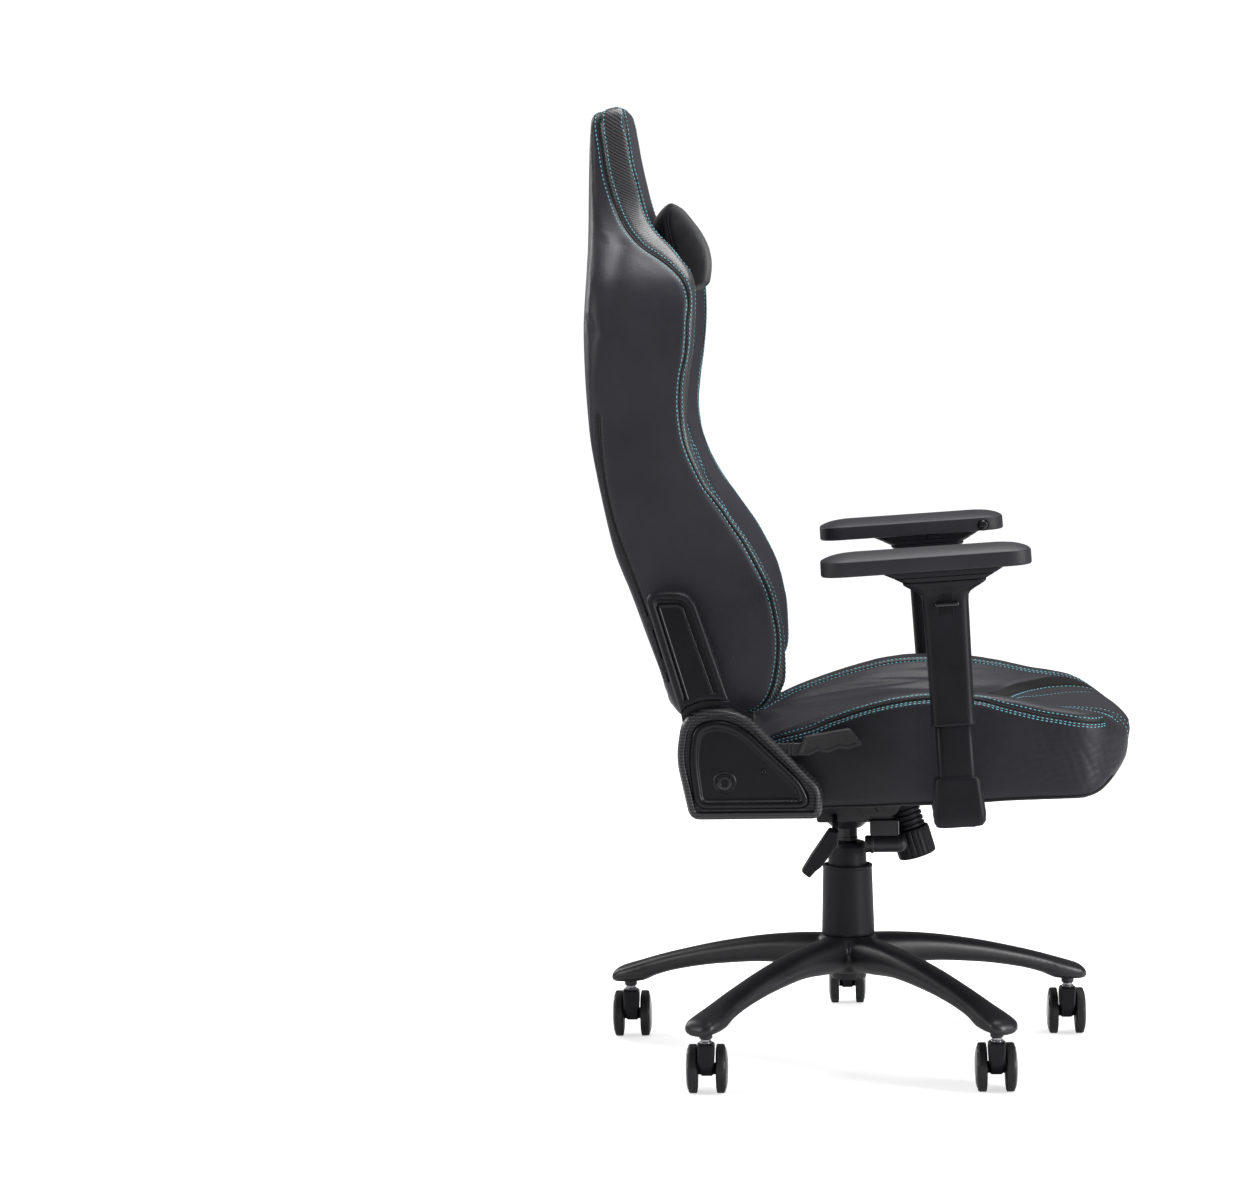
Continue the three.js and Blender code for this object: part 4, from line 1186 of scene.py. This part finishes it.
def screw(name, side, x, z, y, radius):
    """A sunk screw with a hexagonal recess in a ribbed dish."""
    turn = Matrix.Rotation(-side * math.pi / 2, 4, "X")
    outward = COLUMN @ shifted(x, side * y, z) @ turn

    def hexagonal(angle, reach, z):
        flat = math.cos((angle % (math.pi / 3)) - math.pi / 6)
        return reach / flat if reach < 0.4 * radius else reach

    dish = [(1, -1), (1, 0.3), (0.93, 1.0), (0.82, 0.2), (0.72, 0.6), (0.62, -1)]
    cap = [(0.6, -1), (0.6, 0.5), (0.5, 1.1), (0.34, 1.1), (0.3, -0.6), (0.08, -0.6)]
    dish, cap = ([(share * radius, z) for share, z in profile] for profile in (dish, cap))
    return merged(name, [
        turned("dish", dish, SATIN, outward, closed=True, sides=48, ease=0.3),
        turned("cap", cap, GLOSS, outward, sides=48, ease=0.25, wave=hexagonal),
    ])


def make_hinge_cover(name, side):
    base, outside = COVER_Y, COVER_Y + COVER_DEPTH
    floor = outside - 4.2
    rim_profile = [(7, base), (0, base), (0.4, base + 15), (3, base + 20.5), (7, outside - 1.2),
                   (9.4, outside - 1.6), (10.4, outside - 7.5), (18, outside - 7.5), (18, outside - 9.5),
                   (7, outside - 9.5)]
    lip_profile = [(0, outside - 9), (0.2, outside - 5), (2.2, outside - 1.4), (6, outside),
                   (9.6, outside - 1), (12.6, floor + 0.2), (16, floor)]
    rim = relief(f"hinge_cover_rim_{name}", HINGE_CORNERS, rim_profile, side, RIM, hollow=True)
    face = relief(f"hinge_cover_face_{name}", LIP_CORNERS, lip_profile, side, SATIN)
    screws = [screw(f"hinge_cover_screw_{name}", side, -160, 423, floor, 15.5),
              screw(f"hinge_cover_small_screw_{name}", side, -109, 437, floor, 4.6)]
    if side < 0:
        carve(rim, (-142, -(outside - 8), 444), (-20, -(COVER_Y - 3), 540))
    moulded(rim, "seat", f"hinge_cover_{name}")
    for piece in [face, *screws]:
        moulded(piece, "seat")


def make_back_arm_cover(name, side):
    base, outside = COVER_Y, COVER_Y + 14
    shell_profile = [(5, base), (0, base), (0.3, base + 8), (2.5, outside - 1.6), (6, outside),
                     (9.5, outside - 0.8), (12.5, outside - 4), (16, outside - 4.4)]
    shell = relief(f"back_arm_cover_shell_{name}", ARM_COVER_CORNERS, shell_profile, side, PLASTIC, 1.5)
    panel_profile = [(-1.6, outside - 6), (-1.2, outside - 3.4), (0, outside - 1.2), (1.4, outside - 0.8),
                     (2.8, outside - 1.8), (5, outside - 2.1)]
    panel = relief(f"back_arm_cover_panel_{name}", ARM_PANEL_CORNERS, panel_profile, side, SATIN, 0.6)
    moulded(shell, "back", f"back_arm_cover_{name}")
    moulded(panel, "back")


PADDLE_CORNERS = [(-66, 457, 3), (-56, 482, 3), (3, 492, 5), (20, 471, 3), (11, 468, 3), (0, 464, 4),
                  (-10, 466.5, 4), (-26, 459.5, 5), (-38, 462.5, 4), (-50, 456.5, 3)]


def make_recline_lever():
    inside = COVER_Y + 0.4
    hub_frame = COLUMN @ shifted(-175, -inside, 463) @ quarter_turn("X")
    hub = turned("lever_hub", [(15, 0), (15, 13), (12, 14), (3, 14)], PLASTIC, hub_frame, ease=1.0)
    arm_corners = [(-175, 457, 2), (-175, 472, 2), (-60, 473, 2), (-60, 456, 2)]
    arm = side_prism("lever_arm", arm_corners, -inside - 12, -inside - 3, PAINT)
    ribs = []
    for x in (-78, -72):
        corners = [(x, 456.2, 1), (x, 474, 1), (x + 3, 474, 1), (x + 3, 456.2, 1)]
        ribs.append(side_prism("lever_rib", corners, -inside - 13.2, -inside - 4, PAINT, 0.6))
    profile = [(2, inside + 2), (0, inside + 4), (0, inside + 15), (1.5, inside + 17),
               (4.0, inside + 17), (5.2, inside + 15.6), (7, inside + 15.4)]
    paddle = relief("lever_paddle", PADDLE_CORNERS, profile, -1, TREAD, 0.9)
    lever = merged("recline_lever_grip", [paddle, hub, arm, *ribs])
    moulded(lever, "recline_lever", "recline_lever")


def make_height_lever():
    bar_corners = [(-21, 334, 2), (-21, 342, 2), (-13, 342, 2), (-13, 334, 2)]
    bar = side_prism("bar", bar_corners, -150, -24, PLASTIC, 1.2)
    corners = [(-25, 341, 3), (-12, 338, 4), (-13, 320, 4), (-30, 298, 4), (-37, 289, 3),
               (-43, 285, 3), (-52, 275, 3), (-63, 284, 3), (-50, 305, 4)]
    profile = [(2, 146), (0, 148.5), (0, 169.5), (2, 172), (4.2, 172), (5.2, 171)]
    paddle = relief("paddle", corners, profile, -1, PLASTIC, 1.2)
    lever = merged("height_lever_grip", [paddle, bar])
    moulded(lever, "height_lever", "height_lever")


for side_name, side_sign in SIDES:
    make_hinge_cover(side_name, side_sign)
    make_back_arm_cover(side_name, side_sign)
make_recline_lever()
make_height_lever()


# ---- Lift column and tilt mechanism -------------------------------------------------
def make_lift():
    """The gas lift inside its two telescopic covers, all turned about the column."""
    foot = 170.4
    lower = [(25.5, foot), (36, foot), (36.4, foot + 3), (33.9, 262), (34.6, 263.5), (34.6, 266),
             (33.2, 267), (30, 267), (30, 262), (33, foot + 4), (25.5, foot + 4)]
    upper = [(25.1, 205), (28, 205), (28, 208), (26.5, 208.5), (26.5, 268), (26.1, 292), (24.2, 298),
             (21, 299), (15, 299), (15, 297), (21.6, 297), (24.6, 290), (25.1, 268)]
    rod = [(13, 150), (14, 151), (14, 300), (14.6, 300.5), (14.6, 305), (14, 305.5), (14, 318),
           (13.2, 352), (4, 352), (4, 356), (2, 356)]
    tube = [(23.5, 108), (24.5, 110), (24.5, 238), (23.5, 240), (14.4, 240), (14.4, 116)]
    lower_cover = turned("lift_cover_lower_shell", lower, PLASTIC, closed=True, ease=0.8, sides=96)
    upper_cover = turned("lift_cover_upper_shell", upper, PLASTIC, closed=True, ease=0.8, sides=96)
    place(lower_cover, "base", "black_plastic", "lift_cover_lower")
    place(upper_cover, "upper_cover", "black_plastic", "lift_cover_upper")
    place(turned("gas_lift_rod", rod, PAINT, ease=0.4), "piston", "black_steel", "gas_lift_piston")
    place(turned("gas_lift_cylinder", tube, PAINT, ease=0.4), "base", "black_steel", "gas_lift_tube")


TILT = Matrix.Rotation(math.radians(-16.4), 4, "Y")
SPRING = COLUMN @ shifted(97.5, 0, 278) @ TILT


def make_tension_knob():
    """A fluted grip below the ribbed sleeve of the tilt spring."""
    flutes = 20

    def fluted(angle, radius, z):
        if radius < 20 or not 3 < z < 37:
            return radius
        return radius - 1.5 * max(0, math.cos(flutes * angle)) ** 2

    side = [(26.5, z) for z in (5, 10, 15, 20, 25, 30, 35)]
    profile = [(10, 0), (23.5, 0), (26, 1.5), *side, (25.6, 39), (23, 40), (4, 40)]
    grip = turned("tension_knob_grip", profile, PLASTIC, SPRING, ease=0.7, sides=240, wave=fluted)
    moulded(grip, "knob", "tension_knob")


def make_spring_sleeve():
    """The sleeve round the tilt spring, with a groove below each of its rings."""
    rings, foot, top = 5, 40.4, 77.5
    rim, groove = 22.5, 20.4
    pitch = (top - foot) / rings
    outside = []
    for i in range(rings):
        for radius, step in ((rim, 0.1), (rim, 0.62), (groove, 0.74), (groove, 0.96)):
            outside.append((radius, foot + (i + step) * pitch))
    profile = [(8, foot), (20.5, foot), *outside, (20.5, top), (8, top)]
    sleeve = turned("tilt_spring_rings", profile, PLASTIC, SPRING, ease=0.6)
    place(sleeve, "mechanism", "black_plastic", "tilt_spring_sleeve")


def make_housing():
    """The tilt mechanism: trough, rod socket, spring seat and the tension bolt's side web."""
    trough_corners = [(-42, 330, 5), (60, 330, 7), (64, 362, 6), (40, 370, 8), (-42, 358, 8)]
    bridge_corners = [(-34, 78, 2), (-34, 88, 2), (0, 88, 2), (0, 78, 2)]
    web_corners = [(31, 312, 5), (31, 335, 3), (70, 335, 3), (70, 312, 3)]
    edge_corners = [(69.6, 315, 0.4), (69.6, 333, 0.4), (70.6, 333, 0.4), (70.6, 315, 0.4)]
    funnel_profile = [(16, 318), (19, 318), (24, 322), (33, 331), (36, 334), (10, 334)]
    nose_profile = [(8, 77.7), (20, 77.7), (21.5, 79), (21.5, 88), (8, 88)]
    barrel_profile = [(4, 0), (10, 0), (11.8, 1.5), (11.8, 46), (10.6, 52), (7, 56.5), (3, 58)]
    ring_profile = [(12.4, 8), (13, 9), (13, 11), (12.4, 12), (11.3, 12), (11.3, 8)]
    barrel_frame = COLUMN @ shifted(24, -39, 300.5) @ quarter_turn("Y")
    casting = merged("tilt_housing_casting", [
        side_prism("trough", trough_corners, -42, 42, PAINT, 4),
        turned("funnel", funnel_profile, PAINT, ease=1.5),
        turned("nose", nose_profile, PAINT, SPRING, ease=1),
        side_prism("bridge", bridge_corners, -18, 18, PAINT, 1.5, SPRING),
        side_prism("web", web_corners, -50, -28, PAINT, 2.5),
        side_prism("edge_plate", edge_corners, -50.6, -44, STEEL, 0.3),
        turned("barrel", barrel_profile, PAINT, barrel_frame, ease=1.2),
        turned("barrel_ring", ring_profile, PAINT, barrel_frame, closed=True),
    ])
    place(even_shading(casting), "mechanism", "black_steel", "tilt_housing")


make_lift()
make_tension_knob()
make_spring_sleeve()
make_housing()


# ---- Star base and casters ----------------------------------------------------------
STEM_CIRCLE = 325
AXLE_TRAIL = 28                   # mm, how far a caster's axle stands behind its stem
WHEEL_RADIUS = 32.5
ARM_ANGLES = [18, 90, 162, 234, 306]
# Distance out, top, underside and half width along one arm of the base.
ARM_STATIONS = [
    (15, 170, 120, 27), (60, 168, 121, 25.5), (112, 163, 124, 23), (185, 150, 118, 21),
    (250, 134, 106.5, 20), (285, 124, 96, 20.5), (305, 117.5, 87, 22.8), (325, 111, 84.5, 24),
    (338, 106.5, 84, 23), (346, 101, 84.5, 18.5), (350, 95, 86.5, 11),
]


def base_arm(angle):
    outs = np.concatenate((np.arange(15, 335, 8), [338, 341, 344, 347, 349, 350]))
    rings = []
    for out, (top, under, half) in zip(outs, smooth_rows(ARM_STATIONS, outs)):
        middle, rise = (top + under) / 2, (top - under) / 2
        ring = []
        for turn in np.linspace(0, 2 * np.pi, 40, endpoint=False):
            circle = math.cos(turn), math.sin(turn)
            across, up = (math.copysign(abs(part) ** 0.85, part) for part in circle)
            ring.append((out, half * across, middle + rise * up))
        rings.append(ring)
    return loft("arm", rings, PAINT, COLUMN @ Matrix.Rotation(math.radians(angle), 4, "Z"))


def make_base():
    hub_profile = [(26, 118), (34, 118), (39, 123), (41.5, 140), (40.5, 160), (38, 168), (36, 170),
                   (26, 170)]
    socket_profile = [(5.9, 79), (8.2, 79), (8.8, 80), (8.8, 88), (5.9, 88)]
    hub = turned("hub", hub_profile, PAINT, closed=True, ease=2)
    sockets = [turned("socket", socket_profile, PAINT, stem_frame(angle), closed=True, ease=0.5)
               for angle in ARM_ANGLES]
    casting = merged("star_base_casting", [hub, *(base_arm(angle) for angle in ARM_ANGLES)])
    remesh(casting, 2.6, 4)
    place(casting, "base", "base_metal", "star_base")
    place(merged("star_base_sockets", sockets), "base", "base_metal")


def stem_frame(angle):
    """Where a caster stands below its arm of the base."""
    turn = math.radians(angle)
    out = Vector((STEM_CIRCLE * math.cos(turn), STEM_CIRCLE * math.sin(turn), 0))
    return COLUMN @ Matrix.Translation(out * MM)


def wheel_profile():
    """Distance from the axle and along it: inner face, tread, rim step and domed cap."""
    inner, outer = 12.2, 24.6
    inner_face = [(6, inner + 0.6), (9, inner), (27, inner), (28.5, inner + 0.8), (30.5, inner + 0.6)]
    tread = [(32.5, inner + 1.6), (32.5, outer - 2.4)]
    rim = [(31.2, outer - 0.6), (30.2, outer - 0.2), (29.6, outer - 0.9), (29.0, outer - 0.9)]
    cap = [(28.6, outer + 0.2), (26, outer + 1.4), (20, outer + 2.6), (12, outer + 3.3), (3, outer + 3.6)]
    return inner_face + tread + rim + cap


def caster_hood(stem):
    corners = [(-13, 73, 4), (13, 73, 7), (38, 60, 12), (43, 28, 9), (22, 22, 8), (-13, 46, 7)]
    rings = []
    for inset, share in rounded([(2.2, -1), (0, -0.78), (0, 0.78), (2.2, 1)], 0.2, False, 4):
        line = rounded(inset_corners(corners, inset))
        half = np.interp(line[:, 1], (22, 73), (8.6, 11.6))
        rings.append(np.column_stack((share * half, line[:, 0], line[:, 1])))
    return loft("hood", rings, PLASTIC, stem)


def make_caster(number, angle):
    stem = stem_frame(angle)
    body = f"caster_{number}"
    collar_profile = [(5.9, 72.6), (8.4, 72.6), (8.6, 74.4), (7.6, 75.4), (5.9, 75.4)]
    collar = turned("collar", collar_profile, STEEL, stem, closed=True, ease=0.4, sides=40)
    axle_frame = stem @ shifted(0, AXLE_TRAIL, WHEEL_RADIUS) @ quarter_turn("Y")
    boss_profile = [(4, -12), (8, -12), (8, 12), (4, 12)]
    boss = turned("boss", boss_profile, PLASTIC, axle_frame, closed=True, ease=0.5, sides=40)
    block = merged(f"caster_block_{number}", [caster_hood(stem), boss])
    moulded(block, body, f"caster_hood_{number}")
    place(collar, body, "bare_steel")
    for name, sign in (("left", -1), ("right", 1)):
        wheel_frame = axle_frame @ Matrix.Scale(sign, 4, (0, 0, 1))
        wheel = turned(f"caster_roller_{number}_{name}", wheel_profile(), TREAD, wheel_frame,
                       ease=0.5, sides=96)
        paint_cap(wheel, axle_frame)
        place(wheel, f"wheel_{number}_{name}", "wheel_nylon", f"caster_wheel_{number}_{name}")


def paint_cap(wheel, axle_frame):
    """The domed cap inside the rim groove is glossier than the tread."""
    wheel.data.materials.append(GLOSS)
    into_wheel = axle_frame.inverted()
    for face in wheel.data.polygons:
        local = into_wheel @ face.center
        face.material_index = int(math.hypot(local.x, local.y) < 29.2 * MM and abs(local.z) > 20 * MM)


make_base()
for caster_number, arm_angle in enumerate(ARM_ANGLES, 1):
    make_caster(caster_number, arm_angle)


# ---- Armrests -----------------------------------------------------------------------
SLEEVE_TOP = 188
PAD_BACK, PAD_LENGTH, PAD_WIDTH = -156, 268, 96


def arm_frame(side):
    """The armrest's own frame; the right one is the mirror of the left."""
    foot = shifted(135.5 + COLUMN_X, side * 340, 500)
    return foot @ Matrix.Rotation(math.radians(-3.2), 4, "Y") @ Matrix.Scale(side, 4, (0, 1, 0))


def level(z, half_x, half_y, radius=8.0, middle=0.0):
    """A rounded rectangle at one height."""
    back, front = middle - half_x, middle + half_x
    corners = [(back, -half_y, radius), (front, -half_y, radius),
               (front, half_y, radius), (back, half_y, radius)]
    return [(x, y, z) for x, y in rounded(corners, steps=10)]


def make_post(name, side):
    """The armrest's fixed post, in the cup that joins it to its bracket."""
    cup = [(-130, 24, 14, 9), (-129, 29, 17, 10), (-124, 33, 19.4, 11), (-114, 34, 20, 11),
           (-70, 30, 18, 10), (-67.5, 29.6, 17.6, 10), (-66.5, 28.4, 16.6, 10), (-66, 24.4, 13.6, 9)]
    tube = [(-62, 24, 13.5, 9), (95, 23.5, 13, 9)]
    rings = [level(*one) for one in cup + tube]
    post = loft(f"arm_post_tube_{name}", rings, PLASTIC, arm_frame(side))
    moulded(post, "seat", f"arm_post_{name}")


def make_sleeve(name, side):
    """The armrest's sliding sleeve, hollow below and flared under the pad."""
    top = SLEEVE_TOP
    bore = [(150, 24.9, 14.4, 9.5), (1.2, 24.9, 14.4, 9.5)]
    foot = [(1.2, 27, 17.5, 13), (2, 28.4, 18.8, 13.5), (5, 28.6, 19, 13.5), (6, 27.8, 18.2, 13)]
    tube = [(20, 27.8, 18.2, 13), (100, 28.6, 18.6, 13), (160, 29.4, 19, 13), (168, 30.2, 19.3, 13)]
    flare = [(172, 32.5, 20.4, 13), (176, 38, 23, 13), (180, 45, 26.5, 13), (184, 51, 30, 13),
             (185.5, 52.6, 30.8, 13), (top - 0.6, 53, 31, 13), (top, 52.4, 30.4, 13)]
    rings = [level(*one) for one in bore + foot + tube + flare]
    sleeve = loft(f"arm_sleeve_shell_{name}", rings, PLASTIC, arm_frame(side))
    moulded(sleeve, f"arm_sleeve_{name}", f"arm_sleeve_{name}")


def upright_slab(name, middle, half, y_from, y_to, z_from, z_to, where, ease=1.0):
    """A plastic slab given by its limits, x by its middle and half its length."""
    back, front = middle - half, middle + half
    corners = [(back, z_from, ease), (front, z_from, ease), (front, z_to, ease), (back, z_to, ease)]
    return side_prism(name, corners, y_from, y_to, PLASTIC, ease, where)


def make_height_button(name, side):
    """A ribbed slider with an oval finger ridge across it."""
    where = arm_frame(side)
    slider = upright_slab("slider", 1, 8.4, 15, 19.6, 144, 173, where)
    ribs = [upright_slab("rib", x, 0.55, 19, 21.0, 145, 172, where, ease=0.4) for x in range(-6, 9, 2)]
    ridge_frame = where @ shifted(1, 21.4, 158) @ quarter_turn("Y")
    ridge_profile = [(0.6, -15.5), (2.2, -15), (3.2, -13), (3.4, 0), (3.2, 13), (2.2, 15), (0.6, 15.5)]
    ridge = turned("ridge", ridge_profile, GLOSS, ridge_frame, ease=1)
    button = merged(f"arm_height_slider_{name}", [slider, *ribs, ridge])
    body = f"arm_height_button_{name}"
    place(even_shading(button), body, "button_gloss", body)


def make_pad_support(name, side):
    """The turntable and, on it, the carriage with its ribbed catch."""
    where = arm_frame(side)
    top = SLEEVE_TOP
    table = [(top + 0.4, 53, 31, 14), (top + 1.2, 54.6, 32, 14), (top + 6, 63.4, 34, 14),
             (top + 6.6, 63, 33.6, 14)]
    turntable = loft(f"arm_turntable_plate_{name}", [level(*one) for one in table], PLASTIC, where)
    moulded(turntable, f"arm_turntable_{name}", f"arm_turntable_{name}")
    carriage = [(top + 7, 64, 34.4, 12, 0), (top + 7.6, 66, 35.2, 12, 0), (top + 13.4, 76.6, 37, 12, -1),
                (top + 14, 76, 36.4, 12, -1)]
    slide = loft("slide", [level(*one) for one in carriage], PLASTIC, where)
    catch = upright_slab("catch", 8, 8, -38.2, -34, top + 7.6, top + 13.2, where)
    ribs = [upright_slab("catch_rib", x, 0.7, -39, -37.6, top + 8, top + 12.8, where, ease=0.4)
            for x in range(2, 15, 3)]
    plate = merged(f"arm_carriage_plate_{name}", [slide, catch, *ribs])
    moulded(plate, f"arm_carriage_{name}", f"arm_carriage_{name}")


def make_pad(name, side):
    """A moulded foam pad: upright sides, a crisp edge and a crowned top."""
    half, middle, foot = PAD_LENGTH / 2, PAD_BACK + PAD_LENGTH / 2, SLEEVE_TOP + 14.4
    upright = [(0, 4, 25), (0.6, 1.4, 26), (2.5, 0, 27), (18, 0.2, 27)]
    crown = [(19.2, 0.9, 27), (20.4, 2.6, 26), (22.4, 6.6, 25), (24.6, 12.5, 23), (26.3, 19, 20),
             (27.4, 26, 16), (28.2, 34, 11), (28.5, 40, 6)]
    rings = [level(foot + up, half - inset, PAD_WIDTH / 2 - inset, radius + 6, middle)
             for up, inset, radius in upright + crown]
    pad = even_shading(loft(f"arm_pad_foam_{name}", rings, PAD, arm_frame(side)))
    place(pad, f"arm_pad_{name}", "pad_foam", f"arm_pad_{name}")


def make_pad_button(name, side):
    """The button in the pad's inner side, in a raised ring."""
    frame_of_button = arm_frame(side) @ shifted(82, -PAD_WIDTH / 2, SLEEVE_TOP + 23) @ quarter_turn("X")
    ring_profile = [(6.6, -2), (8.6, -2), (8.6, 0.4), (7.6, 1.0), (6.6, 0.3)]
    cap_profile = [(3, -5), (6.4, -5), (6.4, 1.8), (5.4, 3.1), (3, 3.5), (0.8, 3.6)]
    ring = turned(f"arm_pad_button_ring_{name}", ring_profile, PLASTIC, frame_of_button,
                  closed=True, ease=0.4)
    place(ring, f"arm_pad_{name}", "black_plastic")
    cap = turned(f"arm_pad_button_cap_{name}", cap_profile, GLOSS, frame_of_button, ease=0.6)
    place(cap, f"arm_pad_button_{name}", "button_gloss", f"arm_pad_button_{name}")


for side_name, side_sign in SIDES:
    for make in (make_post, make_sleeve, make_height_button, make_pad_support, make_pad, make_pad_button):
        make(side_name, side_sign)


# ---- CAD nodes that stay ------------------------------------------------------------
for number in range(1, 6):
    dress(f"caster_stem_{number}", STEEL, 0.3)
for node in ("tilt_pin", "recline_shaft"):
    dress(node, PAINT, 0.4)
for node in ("seat_plate", "seat_frame", "back_frame"):
    dress(node, PAINT, 1.2)
for side_name, _ in SIDES:
    for node in (f"recliner_plate_{side_name}", f"arm_bracket_{side_name}"):
        dress(node, PAINT, 1.0)
